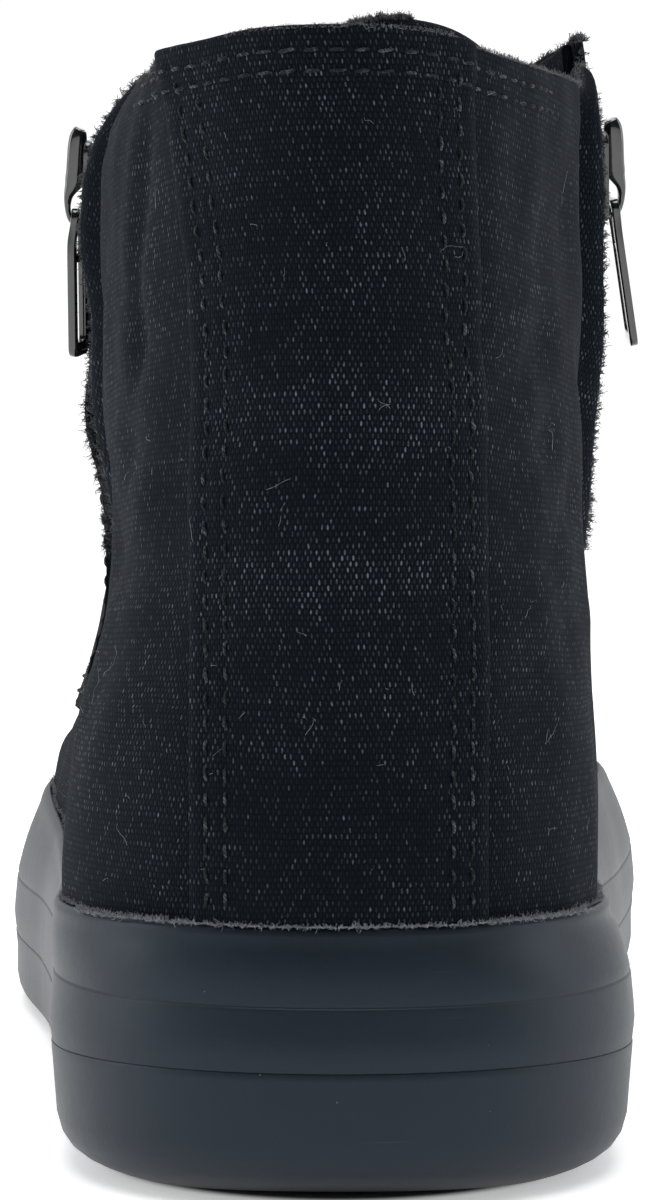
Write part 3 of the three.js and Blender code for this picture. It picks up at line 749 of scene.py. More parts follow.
class Graph:
    """A node tree, and the one way this script adds nodes to it"""

    def __init__(self, tree):
        self.tree = tree

    def node(self, kind, inputs=(), output=0, **settings):
        made = self.tree.nodes.new(kind)
        for key, value in settings.items():
            setattr(made, key, value)
        for key, value in inputs.items() if isinstance(inputs, dict) else enumerate(inputs):
            if isinstance(value, Value):
                self.tree.links.new(value.socket, made.inputs[key])
            else:
                made.inputs[key].default_value = value
        return Value(self, made.outputs[output])


INPUT_KINDS = {"Places": "NodeSocketGeometry", "Template": "NodeSocketObject", "Finish": "NodeSocketMaterial"}


class Repeats(Graph):
    """A geometry tree with named inputs, and the plain mesh that it makes"""

    def __init__(self, name, *inputs):
        super().__init__(bpy.data.node_groups.new(name, "GeometryNodeTree"))
        for key in inputs:
            kind = INPUT_KINDS.get(key, "NodeSocketFloat")
            self.tree.interface.new_socket(key, in_out="INPUT", socket_type=kind)
        self.tree.interface.new_socket("Made", in_out="OUTPUT", socket_type="NodeSocketGeometry")
        self.given = self.tree.nodes.new("NodeGroupInput")

    def given_value(self, key):
        return Value(self, self.given.outputs[key])

    def on_places(self, instance):
        """Copies of instance on the places, turned and sized as the places say"""
        turned = self.node("GeometryNodeInputNamedAttribute", ["turned"], data_type="FLOAT_VECTOR")
        size = self.node("GeometryNodeInputNamedAttribute", ["size"], data_type="FLOAT_VECTOR")
        copies = self.node("GeometryNodeInstanceOnPoints", {
            "Points": self.given_value("Places"),
            "Instance": instance,
            "Rotation": self.node("FunctionNodeEulerToRotation", [turned]),
            "Scale": size,
        })
        return self.node("GeometryNodeRealizeInstances", [copies])

    def finish(self, geometry):
        inputs = {"Geometry": geometry, "Material": self.given_value("Finish")}
        painted = self.node("GeometryNodeSetMaterial", inputs)
        end = self.tree.nodes.new("NodeGroupOutput")
        self.tree.links.new(painted.socket, end.inputs[0])

    def grow(self, places, **inputs):
        """Turns the places into the plain mesh that stands on them"""
        modifier = places.modifiers.new("repeats", "NODES")
        modifier.node_group = self.tree
        for item in self.tree.interface.items_tree:
            if item.in_out == "INPUT" and item.name in inputs:
                modifier[item.identifier] = inputs[item.name]
        graph = bpy.context.evaluated_depsgraph_get()
        mesh = bpy.data.meshes.new_from_object(places.evaluated_get(graph), depsgraph=graph)
        places.modifiers.remove(modifier)
        places.data = mesh
        mesh.polygons.foreach_set("use_smooth", np.ones(len(mesh.polygons), bool))
        return places


def copies_tree():
    """Copies of a template object"""
    tree = Repeats("copies", "Places", "Template", "Finish")
    template = tree.node("GeometryNodeObjectInfo", {"Object": tree.given_value("Template")}, "Geometry")
    tree.finish(tree.on_places(template))
    return tree


def fibres_tree():
    """Tapering three-sided fibres, bent by smooth noise that grows towards their tips"""
    tree = Repeats("fibres", "Places", "Radius", "Curl", "Bend", "Seed", "Finish")
    line = tree.node("GeometryNodeCurvePrimitiveLine", {"Start": (0, 0, 0), "End": (0, 0, MM)})
    fine = tree.node("GeometryNodeResampleCurve", {"Curve": line, "Count": 6})
    straight = tree.on_places(fine)
    share = tree.node("GeometryNodeSplineParameter")
    settings = {"W": tree.given_value("Seed"), "Scale": 1 / tree.given_value("Bend"), "Detail": 1.0}
    noise = tree.node("ShaderNodeTexNoise", settings, "Color", noise_dimensions="4D")
    drift = tree.node("ShaderNodeVectorMath", [noise, (0.5, 0.5, 0.5)], operation="SUBTRACT")
    reach = tree.given_value("Curl") * share * 4.0
    offset = tree.node("ShaderNodeVectorMath", {0: drift, 3: reach}, operation="SCALE")
    bent = tree.node("GeometryNodeSetPosition", {"Geometry": straight, "Offset": offset})
    ring_of_three = {"Resolution": 3, "Radius": tree.given_value("Radius")}
    outline = tree.node("GeometryNodeCurvePrimitiveCircle", ring_of_three)
    skin = {"Curve": bent, "Profile Curve": outline, "Scale": 1 - share * 0.5, "Fill Caps": True}
    tree.finish(tree.node("GeometryNodeCurveToMesh", skin))
    return tree


COPIES = copies_tree()
FIBRES = fibres_tree()


class Paint(Graph):
    """A material with one shader"""

    def __init__(self, name, **constants):
        self.material = bpy.data.materials.new(name)
        self.material.use_nodes = True
        super().__init__(self.material.node_tree)
        self.shader = self.tree.nodes["Principled BSDF"]
        for key, value in constants.items():
            self.shader.inputs[key.replace("_", " ")].default_value = value

    def feed(self, key, value):
        self.tree.links.new(value.socket, self.shader.inputs[key])

    def lengths(self):
        """The two lengths of the cloth, in millimetres"""
        uv = self.node("ShaderNodeUVMap", uv_map="cloth")
        return self.node("ShaderNodeSeparateXYZ", [uv], 0), self.node("ShaderNodeSeparateXYZ", [uv], 1)

    def place(self):
        """The point on the object, in millimetres"""
        here = self.node("ShaderNodeTexCoord", output="Object")
        return self.node("ShaderNodeVectorMath", {0: here, 3: 1 / MM}, operation="SCALE")

    def joined(self, x, y, z=0.0):
        return self.node("ShaderNodeCombineXYZ", [x, y, z])

    def noise(self, vector, size, detail=2.0, rough=0.5):
        """Noise of about this size in millimetres"""
        inputs = {"Vector": vector, "Scale": 1 / size, "Detail": detail, "Roughness": rough}
        return self.node("ShaderNodeTexNoise", inputs)

    def specks(self, vector, spacing, size, share):
        """Small round specks, in this share of the places for them"""
        settings = {"Vector": vector, "Scale": 1 / spacing}
        near = self.node("ShaderNodeTexVoronoi", settings, "Distance")
        shade = self.node("ShaderNodeTexVoronoi", settings, "Color")
        chance = self.node("ShaderNodeSeparateColor", [shade], 0)
        dot = (size / spacing - near).between(0.0, 0.3 * size / spacing)
        return dot * chance.between(1 - share, 1.001 - share)

    def blend(self, factor, a, b):
        return self.node("ShaderNodeMix", {0: factor, 6: a, 7: b}, 2, data_type="RGBA")

    def bump(self, height, depth, strength=1.0, under=None):
        """Relief of this depth in millimetres"""
        inputs = {"Strength": strength, "Distance": depth * MM, "Height": height}
        if under is not None:
            inputs["Normal"] = under
        return self.node("ShaderNodeBump", inputs)


def grey(red, green, blue, scale=1.0):
    """A colour from screen values of 0 to 255"""
    linear = [((v / 255 + 0.055) / 1.055) ** 2.4 if v > 10 else v / 255 / 12.92 for v in (red, green, blue)]
    return (*[scale * v for v in linear], 1.0)


def scaled(colour, by):
    """The colour made darker or lighter"""
    return (*[by * c for c in colour[:3]], 1.0)


COOL = (0.7, 0.86, 1.0, 1)


def canvas_paint(name, dark, light, raw_light, wear_and_highlight=1.0):
    """Plain weave: fine upright threads over thick level ones, with uneven yarn and bright knots. The
    threads' crests are painted lighter as highlight, the hollows between them painted darker as shade, and
    pale patches on the crests are partly painted highlight, partly wear.
    """
    paint = Paint(name, Roughness=0.9, Sheen_Weight=0.02, Sheen_Roughness=0.5, Sheen_Tint=grey(130, 140, 160),
                  Specular_Tint=COOL, Specular_IOR_Level=0.12)
    across, along = paint.lengths()
    flat = paint.joined(across, along)
    shake = paint.noise(flat, 1.3) * 0.4
    u = across / WARP_PITCH + paint.noise(flat, 11.0) * 1.6 + shake
    v = along / WEFT_PITCH + paint.noise(paint.joined(across, along, 7.0), 13.0) * 1.2 - shake * 0.6
    column = u.maths("FLOOR")
    row = v.maths("FLOOR")
    in_column = u.maths("FRACT")
    in_row = v.maths("FRACT")
    round_column = in_column * (1 - in_column) * 4
    round_row = in_row * (1 - in_row) * 4
    warp = round_column * 0.7 + ((v + column) * math.pi).maths("SINE") * 0.5
    weft = round_row * 0.7 - ((u + row) * math.pi).maths("SINE") * 0.5
    height = warp.maths("MAXIMUM", weft)
    crossing = {"Vector": paint.joined(column, row)}
    chance = paint.node("ShaderNodeTexWhiteNoise", crossing, 0, noise_dimensions="2D")
    yarn = paint.node("ShaderNodeTexWhiteNoise", {"W": row}, 0, noise_dimensions="1D")
    fleck = paint.noise(flat, 0.32, 2.0)
    knots = chance ** 6 * 1.3
    bright = chance ** 2 * 0.6 + 0.14 + knots
    # Painted highlight on the upright threads' crests, brighter at random knots
    lit_crests_and_knots = warp.between(0.6, 1.15) * bright * (fleck.between(0.34, 0.68) * 0.9 + 0.35)
    cloud = paint.noise(paint.place(), 9.0, 4.0, 0.6).between(0.3, 0.72)
    # The crests painted paler in patches: painted highlight where folds and sides catch the light, partly
    # wear
    wear_and_highlight_mask = paint.node("ShaderNodeAttribute", output="Fac", attribute_name="wear_and_highlight")
    lit_crests_and_knots = lit_crests_and_knots * (wear_and_highlight_mask * 0.75 * wear_and_highlight + cloud * 0.35 + 0.12) * (yarn * 0.5 + 0.75)
    # Painted shade: the hollows between the threads darker
    base = paint.blend(height.between(0.15, 1.0), scaled(dark, 0.35), dark)
    colour = paint.blend(lit_crests_and_knots, base, light)
    raw = paint.node("ShaderNodeAttribute", output="Fac", attribute_name="raw")
    fuzz = raw * paint.noise(flat, 0.3, 3.0).between(0.35, 0.75)
    colour = paint.blend(fuzz, colour, raw_light)
    lint = paint.specks(paint.place(), 3.3, 0.09, 0.1)
    colour = paint.blend(lint * 0.7, colour, grey(120, 126, 134))
    paint.feed("Base Color", colour)
    nap = paint.bump(paint.noise(flat, 0.11, 2.0), 0.05, 0.8)
    paint.feed("Normal", paint.bump(height, 0.11, 1.0, nap))
    return paint.material


def lining_paint():
    """Fine twill, darker than the canvas"""
    paint = Paint("lining", Roughness=0.95, Sheen_Weight=0.2)
    across, along = paint.lengths()
    rib = ((across + along) * (2 * math.pi / 0.7)).maths("SINE")
    thread = (across * (2 * math.pi / 0.45)).maths("SINE")
    shade = paint.noise(paint.place(), 12.0, 3.0)
    # The twill's ribs are painted a little lighter on top, as highlight; the noise is random tone
    colour = paint.blend(shade * (rib * 0.2 + 0.7), grey(9, 11, 15), grey(34, 38, 46))
    paint.feed("Base Color", colour)
    paint.feed("Normal", paint.bump(rib * 0.6 + thread * 0.4, 0.08))
    return paint.material


def rubber_paint(name, dark, light, dust=0.35):
    """Satin moulded rubber with cloudy bloom, dust specks and fine scuffs"""
    paint = Paint(name, Roughness=0.5, Specular_Tint=COOL, Specular_IOR_Level=0.3)
    here = paint.place()
    cloud = paint.noise(here, 26.0, 4.0)
    mottle = paint.noise(here, 3.5, 3.0)
    grain = paint.noise(here, 0.35, 2.0)
    base = paint.blend(cloud * 0.6 + mottle * 0.4, dark, light)
    drawn = paint.node("ShaderNodeVectorMath", {0: here, 1: (0.12, 0.12, 2.2)}, operation="MULTIPLY")
    scuff = paint.noise(drawn, 1.4, 3.0).between(0.66, 0.78) * paint.noise(here, 14.0).between(0.5, 0.7)
    bloom = paint.blend(scuff * 0.12, base, grey(98, 104, 112))
    fine = paint.specks(here, 2.4, 0.11, 0.13)
    coarse = paint.specks(here, 6.5, 0.2, 0.22)
    specks = fine.maths("MAXIMUM", coarse)
    paint.feed("Base Color", paint.blend(specks * dust, bloom, grey(176, 180, 186)))
    paint.feed("Roughness", cloud * 0.14 + grain * 0.08 + scuff * 0.1 + 0.34)
    relief = paint.bump(grain, 0.02, 0.7)
    paint.feed("Normal", paint.bump(mottle, 0.1, 0.5, relief))
    return paint.material


def metal_paint(name, colour, roughness, metallic, coat):
    """Glossy black plating with a little handling wear"""
    paint = Paint(name, Metallic=metallic, Coat_Weight=coat, Coat_Roughness=0.06)
    here = paint.place()
    wear = paint.noise(here, 1.6, 4.0).between(0.56, 0.74)
    paint.feed("Base Color", paint.blend(wear * 0.5, colour, scaled(colour, 2.6)))
    paint.feed("Roughness", wear * 0.12 + roughness)
    paint.feed("Normal", paint.bump(paint.noise(here, 0.9, 2.0), 0.012, 0.5))
    return paint.material


def thread_paint(name, colour, light):
    """Twisted thread: dark, with light flecks along its twist painted on as glints"""
    paint = Paint(name, Roughness=0.7, Specular_IOR_Level=0.25)
    here = paint.place()
    level = paint.node("ShaderNodeSeparateXYZ", [here], 2)
    across = paint.node("ShaderNodeSeparateXYZ", [here], 0)
    twist = ((level + across) * (2 * math.pi / 0.5)).maths("SINE")
    chance = paint.noise(here, 0.9, 2.0).between(0.45, 0.7)
    # Painted glints: lighter flecks along the twist
    paint.feed("Base Color", paint.blend(chance * (twist * 0.3 + 0.55), colour, light))
    paint.feed("Normal", paint.bump(twist, 0.05))
    return paint.material


def lace_paint():
    """Flat braid: slanting strands that meet in the middle"""
    paint = Paint("lace_braid", Roughness=0.85, Sheen_Weight=0.25)
    across, along = paint.lengths()
    strand = ((across.maths("PINGPONG", 2.6) * 1.6 + along) * (2 * math.pi / 1.15)).maths("SINE")
    rib = (across * (2 * math.pi / 0.62)).maths("SINE")
    height = strand * 0.6 + rib * 0.4
    fleck = paint.noise(paint.place(), 0.5, 2.0)
    # Painted light and shade: the strands' raised tops lighter, the dips between them darker
    shade = height.between(-0.6, 0.9) * fleck
    paint.feed("Base Color", paint.blend(shade, grey(9, 11, 15), grey(52, 58, 68)))
    paint.feed("Normal", paint.bump(height, 0.12))
    return paint.material


def tape_paint():
    """Zip tape: herringbone ribs along its length"""
    paint = Paint("zip_weave", Roughness=0.9, Sheen_Weight=0.2)
    across, along = paint.lengths()
    rib = ((across.maths("PINGPONG", 0.9) + along) * (2 * math.pi / 0.6)).maths("SINE")
    fleck = paint.noise(paint.place(), 0.6, 2.0)
    # Painted light and shade: the ribs' tops lighter, the grooves between them darker
    paint.feed("Base Color", paint.blend(rib.between(-0.8, 1.0) * fleck, grey(7, 8, 11), grey(36, 40, 48)))
    paint.feed("Normal", paint.bump(rib, 0.08))
    return paint.material


def fibre_paint(name, colour):
    paint = Paint(name, Roughness=0.8, Sheen_Weight=0.4)
    tone = paint.noise(paint.place(), 0.8, 2.0).between(0.3, 0.75)
    paint.feed("Base Color", paint.blend(tone, scaled(colour, 0.4), colour))
    return paint.material


CANVAS = canvas_paint("canvas", grey(9, 13, 20), grey(94, 101, 110), grey(38, 45, 54))
# The front panels: a darker copy of the canvas, painted shade, with fewer pale patches
SHADED_PANEL_CANVAS = canvas_paint("panel_canvas", grey(7, 10, 16), grey(76, 86, 100), grey(38, 45, 54), wear_and_highlight=0.7)
LINING = lining_paint()
RUBBER = rubber_paint("rubber_wall", grey(18, 23, 31), grey(26, 32, 41))
TREAD_RUBBER = rubber_paint("rubber_tread", grey(15, 17, 21), grey(26, 29, 34), dust=0.25)
BLACK_METAL = metal_paint("black_plating", grey(12, 13, 16), 0.16, 0.0, 1.0)
TOOTH_METAL = metal_paint("zip_teeth", grey(70, 74, 80), 0.3, 0.85, 0.0)
THREAD = thread_paint("sewing_thread", grey(13, 16, 20), grey(92, 99, 108))
LACE_BRAID = lace_paint()
ZIP_WEAVE = tape_paint()
FRAY = fibre_paint("canvas_fibre", grey(50, 55, 64))
PALE_FRAY = fibre_paint("pale_fibre", grey(122, 128, 136))
LINT = fibre_paint("lint", grey(124, 130, 138))


def dress(piece, slot, *materials, nodes=(), body="shoe"):
    """Gives a piece its materials, hangs it on its body's empty, and hides the frame's nodes that it stands
    for
    """
    for material in materials:
        piece.data.materials.append(material)
    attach(piece, body)
    if nodes:
        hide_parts(*nodes)
    return piece


def grow_copies(name, found, template, finish, slot):
    """One piece of copies of template on the places found"""
    places = place_points(name, found)
    COPIES.grow(places, Template=template, Finish=finish)
    bpy.data.objects.remove(template)
    return dress(places, slot)


# Side lines of the upper's pieces
def quarter_edge(z):
    """Behind the zip's slot, and lapped over the vamp below the zip"""
    return zip_at(z) + mix(3.5, -ZIP_SLOT / 2, smooth((z - 57) / 5))


def vamp_edge(z):
    return zip_at(z) + mix(-4.0, ZIP_SLOT / 2, smooth((z - 57) / 5))


def panel_edge(z):
    return zip_at(z) + RAW_EDGE


def jagged(line, seed, size):
    """line with an uneven cut, for a raw edge"""
    rng = np.random.default_rng(seed)
    knots = np.linspace(0, TOP_ROW, 260)
    steps = rng.normal(size=260) * size
    return lambda t: line(t) + np.interp(t, knots, steps)


def front_ends(side):
    """The turns between which a row line is worked out for one half of the front"""
    return (1.0, FULL) if side > 0 else (-FULL, -1.0)


def make_quarters():
    """The rear cloth from zip to zip, with its lining"""
    bundle = Bundle()
    left = jagged(side_line(quarter_edge, LATERAL), 1, 0.0022)
    right = jagged(side_line(quarter_edge, MEDIAL), 2, 0.0022)
    low = row_line(level_line(29), -2.1, 2.1)
    high = row_line(collar_height(1.0), -2.1, 2.1)
    t, turn = patch(left, right, low, high, 301, 120)
    outer = quarter_out(t, turn)
    cloth(bundle, t, turn, outer, outer - WALL + 0.1, middle=130, lining=True, raw_sides=0.9, top_swell=1.1)
    return dress(bundle.make("quarters"), "canvas", CANVAS, LINING, nodes=["upper"])


def make_heel_strip():
    """The strip over the back seam"""
    bundle = Bundle()
    left = back_line(strip_edge("lateral"), LATERAL)
    right = back_line(strip_edge("medial"), MEDIAL)
    low = row_line(wall_top(GAP + 0.1), -0.9, 0.9)
    high = row_line(collar_height(0.4), -0.9, 0.9)
    t, turn = patch(left, right, low, high, 101, 200)
    outer = strip_out(t, turn)
    edge = np.linspace(-1, 1, 101)[None, :]
    outer = outer - 0.45 * np.exp(-(1 - np.abs(edge)) * 18 / 0.6)
    cloth(bundle, t, turn, outer, outer - OVERLAY, middle=50, top_swell=1.2)
    return dress(bundle.make("heel_strip_cloth"), "canvas", CANVAS, nodes=["heel_strip"])


def front_halves(edge, extra, low, high, seed, size):
    """The side and row lines of the medial and the lateral half of a front piece"""
    for side in (MEDIAL, LATERAL):
        zip_side = jagged(side_line(edge, side), seed + side, size)
        throat = offset_line(throat_half(extra), side)
        lines = (zip_side, throat) if side > 0 else (throat, zip_side)
        yield (*lines, row_line(low, *front_ends(side)), row_line(high, *front_ends(side))), side


def make_vamp():
    bundle = Bundle()
    for lines, side in front_halves(vamp_edge, 0.0, level_line(22), collar_height(1.2), 11, 0.001):
        t, turn = patch(*lines, 130, 84)
        outer = front_out(t, turn)
        middle = 129 if side > 0 else 0
        cloth(bundle, t, turn, outer, outer - WALL + 0.2, middle=middle, lining=True)
    return dress(bundle.make("vamp"), "canvas", CANVAS, LINING)


def make_front_panel():
    bundle = Bundle()
    for lines, side in front_halves(panel_edge, 0.4, panel_low(), collar_height(0.2), 21, 0.003):
        t, turn = patch(*lines, 104, 110)
        outer = panel_out(t, turn)
        middle = 103 if side > 0 else 0
        inner = outer - OVERLAY - 0.5
        cloth(bundle, t, turn, outer, inner, middle=middle, top=3, raw_sides=1.0, raw_ends=0.9)
    return dress(bundle.make("front_panel_cloth"), "canvas", SHADED_PANEL_CANVAS, nodes=["front_panel"])


def make_toe_cap():
    """Smooth rubber over the toe, with a rolled edge"""
    bundle = Bundle()

    def edge(side):
        def turns(t):
            row = level_at(t)

            def behind(turn):
                p = ring(row, side * turn)
                x = p[..., 0] - toe_swing(210)
                line = 209 + 9 * (x / 50) ** 2 * np.where(x < 0, 0.4, 1)
                return p[..., 1] < line

            return side * halving(np.full_like(t, 1.6), np.full_like(t, FULL), behind)

        return tabulate(turns, 0, TOP_ROW, 961)

    top = row_where("front", 209.2)
    for side in (MEDIAL, LATERAL):
        ends = (2.0, FULL) if side > 0 else (-FULL, -2.0)
        centre = tabulate(lambda t, s=side: np.full_like(t, s * FULL), 0, TOP_ROW)
        lines = (edge(side), centre) if side > 0 else (centre, edge(side))
        low = row_line(wall_top(GAP), *ends)
        t, turn = patch(*lines, low, lambda turn: np.full_like(turn, top), 70, 46)
        p, _ = frame_at(t, turn)
        outer = GAP + CAP_THICKNESS + 0.1 * ripple(p, 30, 31)
        cloth(bundle, t, turn, outer, np.full_like(t, GAP - 0.2), top=3)
    return dress(bundle.make("toe_cap_rubber"), "rubber", RUBBER, nodes=["toe_cap"])


def tongue_arch(from_middle):
    """The height of the tongue's round top, from_middle counted in its half width"""
    return TONGUE_SHOULDER + TONGUE_CROWN * np.sqrt(np.maximum(0, 1 - from_middle**2))


def make_tongue():
    """A padded flap under the throat, whose raw round top stands above the collar"""
    bundle = Bundle()
    first = row_where("front", 186)

    def reach(side):
        def half(t):
            u = np.clip((t - first) / (TOP_ROW - first), 0, 1)
            return np.maximum(0.5, mix(17, 25, u) + side * 9 * u * u)

        return offset_line(half, side)

    for side in (MEDIAL, LATERAL):
        centre = tabulate(lambda t, s=side: np.full_like(t, s * FULL), 0, TOP_ROW)
        lines = (reach(side), centre) if side > 0 else (centre, reach(side))
        u, v = np.meshgrid(np.linspace(0, 1, 44), np.linspace(0, 1, 150))
        t = mix(first, 11.5, v)
        for _ in range(12):
            turn = mix(lines[0](t), lines[1](t), u)
            p = ring(level_at(t), turn)
            from_middle = np.abs(p[..., 0] - TONGUE_MIDDLE) / TONGUE_HALF
            beside = TONGUE_SHOULDER - (from_middle - 1) * 8
            top = np.where(from_middle < 1, tongue_arch(from_middle), beside)
            high = np.interp(top - pitch(p[..., 1]), LEVELS[:, 0], np.arange(len(LEVELS)))
            t = mix(t, mix(first, high, v), 0.7)
        p, _ = frame_at(t, turn)
        pad = 0.5 * smooth((v - 0.04) / 0.1) * smooth((0.97 - v) / 0.05)
        outer = -WALL - GAP - 0.6 + 0.35 * ripple(p, 16, 41) * smooth((p[..., 2] - 60) / 40) * 0.6 + 0.2 * pad
        cloth(bundle, t, turn, outer, outer - TONGUE_THICKNESS + 0.9, middle=43 if side > 0 else 0, top=4,
              lining=True, raw_sides=0.8, raw_ends=1.0)
    return dress(bundle.make("tongue_cloth"), "canvas", CANVAS, LINING, nodes=["tongue"])


# Sole
def outline_normal(row, turn):
    step = 0.02
    along = ring(row, turn + step) - ring(row, turn - step)
    along[..., 2] = 0
    return unit(np.cross(along, [0.0, 0.0, 1.0]))


def roundness(y):
    return mix(1, 0.5, smooth((y - 30) / 60))


def sole_loop(turn, out, z_of):
    """A loop of the sole's side at a distance from its widest outline"""
    p = ring(SOLE_OUTLINE, turn)
    normal = outline_normal(SOLE_OUTLINE, turn)
    p = p + normal * np.asarray(out(p[..., 1]))[..., None]
    p[..., 2] = z_of(p[..., 1])
    return p


def last_loop(turn, height, out):
    """A loop round the last at z = height(y), moved out level"""

    def below(t):
        p = ring(level_at(t), turn)
        return p[..., 2] < height(p[..., 1])

    t = halving(np.zeros_like(turn), np.full_like(turn, 7.0), below)
    row = level_at(t)
    return ring(row, turn) + outline_normal(row, turn) * out


SOLE_TURNS = np.linspace(0, 2 * math.pi, 420, endpoint=False)
OUTSOLE_PROFILE = {"share": [0, 0.03, 0.07, 0.12, 0.19, 0.28, 0.42, 0.78, 0.93, 0.992, 1.0],
                   "out": [-9.0, -7.4, -5.7, -4.1, -2.6, -1.6, -0.95, -0.5, -0.3, -0.24, -0.3]}
MIDSOLE_PROFILE = {"share": [0.0, 0.006, 0.03, 0.2, 0.35, 0.55, 0.75, 0.9, 0.965, 0.985, 0.995],
                   "out": [-0.38, -0.34, -0.3, -0.1, 0, -0.12, -0.3, -0.44, -0.5, -0.53, -0.66]}
GROOVES = [-26, -14, 16, 28, 92, 106, 120, 134, 148, 182, 194, 206, 218, 230]


def tread_height(x, y):
    """Cross grooves, and a fine wavy tread on the pads between them"""
    nearest = np.min(np.abs(np.asarray(GROOVES)[:, None, None] - y[None]), axis=0)
    groove = 1.8 * (1 - smooth((nearest - 1.1) / 0.7))
    wave = y + 2.4 * np.abs(((x / 9) % 2) - 1) * 2
    fine = 0.55 * smooth((np.cos(wave * 2 * math.pi / 4.2) - 0.35) / 0.4)
    return np.maximum(groove, fine)


def underside(y):
    """The sole's bottom, with only a slight bevel left at the back of the heel"""
    return sole_bottom(y) * mix(0.4, 1, smooth((y + 16) / 14))


def make_outsole():
    bundle = Bundle()
    loops = []
    for share, out in zip(OUTSOLE_PROFILE["share"], OUTSOLE_PROFILE["out"]):
        def height(y, share=share):
            return mix(underside(y), side_height("low_line", y) + 0.17, share)

        def reach(y, share=share, out=out):
            return out * (roundness(y) if share < 0.6 else 1)

        loops.append(sole_loop(SOLE_TURNS, reach, height))
    rim = loops[0]
    loft(bundle, loops, caps=False)
    roof = len(loops) - 1
    bundle.faces.append(roof * len(SOLE_TURNS) + np.arange(len(SOLE_TURNS)))
    bundle.slots.append(np.zeros(1, int))
    count = len(SOLE_TURNS)
    half = count // 2
    medial = rim[:half + 1]
    lateral = np.concatenate([rim[:1], rim[:half - 1:-1]])
    v = np.linspace(0, 1, 64)
    under = mix(lateral[:, None], medial[:, None], v[None, :, None])
    x, y = under[..., 0], under[..., 1]
    width = (medial[:, 0] - lateral[:, 0])[:, None]
    inside = smooth((np.minimum(v, 1 - v)[None] * width - 5.5) / 1.5)
    under[..., 2] = underside(y) + tread_height(x, y) * inside * smooth((y + 36) / 3) * smooth((252 - y) / 3)
    faces = grid_faces(len(under), 64)
    bundle.add(under, list(faces[:, ::-1]), slots=1)
    return dress(bundle.make("outsole_rubber", 60), "rubber", RUBBER, TREAD_RUBBER, nodes=["outsole"])


def tier_loop(low, high, share, out):
    """A loop of the sole's side, this share of the way up from low(y) to high(y)"""
    return sole_loop(SOLE_TURNS, lambda y: out + 0 * y, lambda y: mix(low(y), high(y), share))


def make_midsole():
    """The side wall in two tiers with a fine line between them, a soft lip, and the cup's inside"""
    bundle = Bundle()
    loops = []

    def low(y):
        return side_height("low_line", y) + 0.2

    def high(y):
        return side_height("high_line", y) - 0.6 * (1 - smooth((y + 36) / 30))

    def top(y):
        return side_height("top", y)

    for share, out in zip(MIDSOLE_PROFILE["share"], MIDSOLE_PROFILE["out"]):
        loops.append(tier_loop(low, high, share, out))
    for share, out in ((0.006, -0.74), (0.02, -0.7), (0.06, -0.66)):
        loops.append(tier_loop(high, top, share, out))
    shoulder = last_loop(SOLE_TURNS, lambda y: mix(high(y), top(y), 0.8), LIP + 0.05)
    wall = loops[-1]
    for u in (0.15, 0.32, 0.5, 0.68, 0.84):
        p = mix(wall, shoulder, u)
        bulge = 0.35 * math.sin(math.pi * u)
        p = p + outline_normal(SOLE_OUTLINE, SOLE_TURNS) * bulge
        p[:, 2] = mix(wall[:, 2], shoulder[:, 2], u)
        loops.append(p)
    loops.append(shoulder)
    lip = (
        (0.88, LIP),
        (0.935, LIP - 0.12),
        (0.968, LIP - 0.32),
        (0.99, LIP - 0.6),
        (1.0, LIP - 0.95),
        (0.992, LIP - 1.2),
        (0.96, GAP + 0.02),
    )
    for share, out in lip:
        loops.append(last_loop(SOLE_TURNS, lambda y, s=share: mix(high(y), top(y), s), out))
    loops.append(last_loop(SOLE_TURNS, lambda y: mix(high(y), top(y), 0.4), GAP))
    floor = last_loop(SOLE_TURNS, lambda y: FLOOR_OF_CUP + 0.8 + pitch(y), -0.6)
    loops.append(floor)
    inner = floor.copy()
    inner[:, 0] = mix(inner[:, 0], toe_swing(inner[:, 1]), 0.2)
    loops.append(inner)
    under = inner.copy()
    under[:, 2] = low(under[:, 1]) + 0.1
    loops.append(under)
    loft(bundle, loops, closed=True)
    return dress(bundle.make("midsole_rubber", 60), "rubber", RUBBER, nodes=["midsole"])


def make_insole():
    """A fabric-topped footbed, a little dished at the heel"""
    bundle = Bundle()
    loops = []
    profile = ((0.0, 0.4), (0.4, 0.0), (2.8, 0.0), (3.7, 0.5), (4.0, 1.6), (3.9, 6.0), (3.7, 12.0))
    for height, inset in profile:
        p, _ = frame_at(np.zeros_like(SOLE_TURNS), SOLE_TURNS)
        p = p + outline_normal(level_at(np.zeros_like(SOLE_TURNS)), SOLE_TURNS) * (-WALL - 2 * GAP - inset)
        p[:, 2] = FLOOR_OF_CUP + GAP + height + pitch(p[:, 1])
        loops.append(p)
    last = loops[-1]
    for share in (0.75, 0.45, 0.15):
        p = last.copy()
        p[:, 0] = mix(toe_swing(p[:, 1]), p[:, 0], share)
        p[:, 2] = last[:, 2] - 0.4 * (1 - share)
        loops.append(p)
    loft(bundle, loops)
    return dress(bundle.make("insole_cloth"), "lining", LINING, nodes=["insole"])


# Zips
def zip_out(side, turn_share):
    """The tape's distance from the last: low at the quarter, high under the front panel"""
    behind = -WALL - (2.6 if side > 0 else 1.2)
    return mix(behind, -0.9, smooth(turn_share))


def zip_surface(side, z, offset):
    """Points and normals of the tape's outside at heights z, offset ahead of the zip's middle line"""
    t = np.interp(z, LEVELS[:, 0], np.arange(len(LEVELS)))
    for _ in range(3):
        p = ring(level_at(t), side_line(zip_at, side)(t))
        t = np.interp(z - pitch(p[..., 1]), LEVELS[:, 0], np.arange(len(LEVELS)))
    row = level_at(t)
    share = np.clip((zip_at(z) + offset - row["back"]) / (row["front"] - row["back"]), 0, 1)
    turn = side * np.arccos(1 - 2 * share)
    depth = zip_out(side, (offset + 5.2) / 10.4)
    fade = smooth((z - 60) / 16)
    out = mix(-1.5, depth, fade)
    p, normal = frame_at(t, turn)
    return p + normal * out[..., None], normal


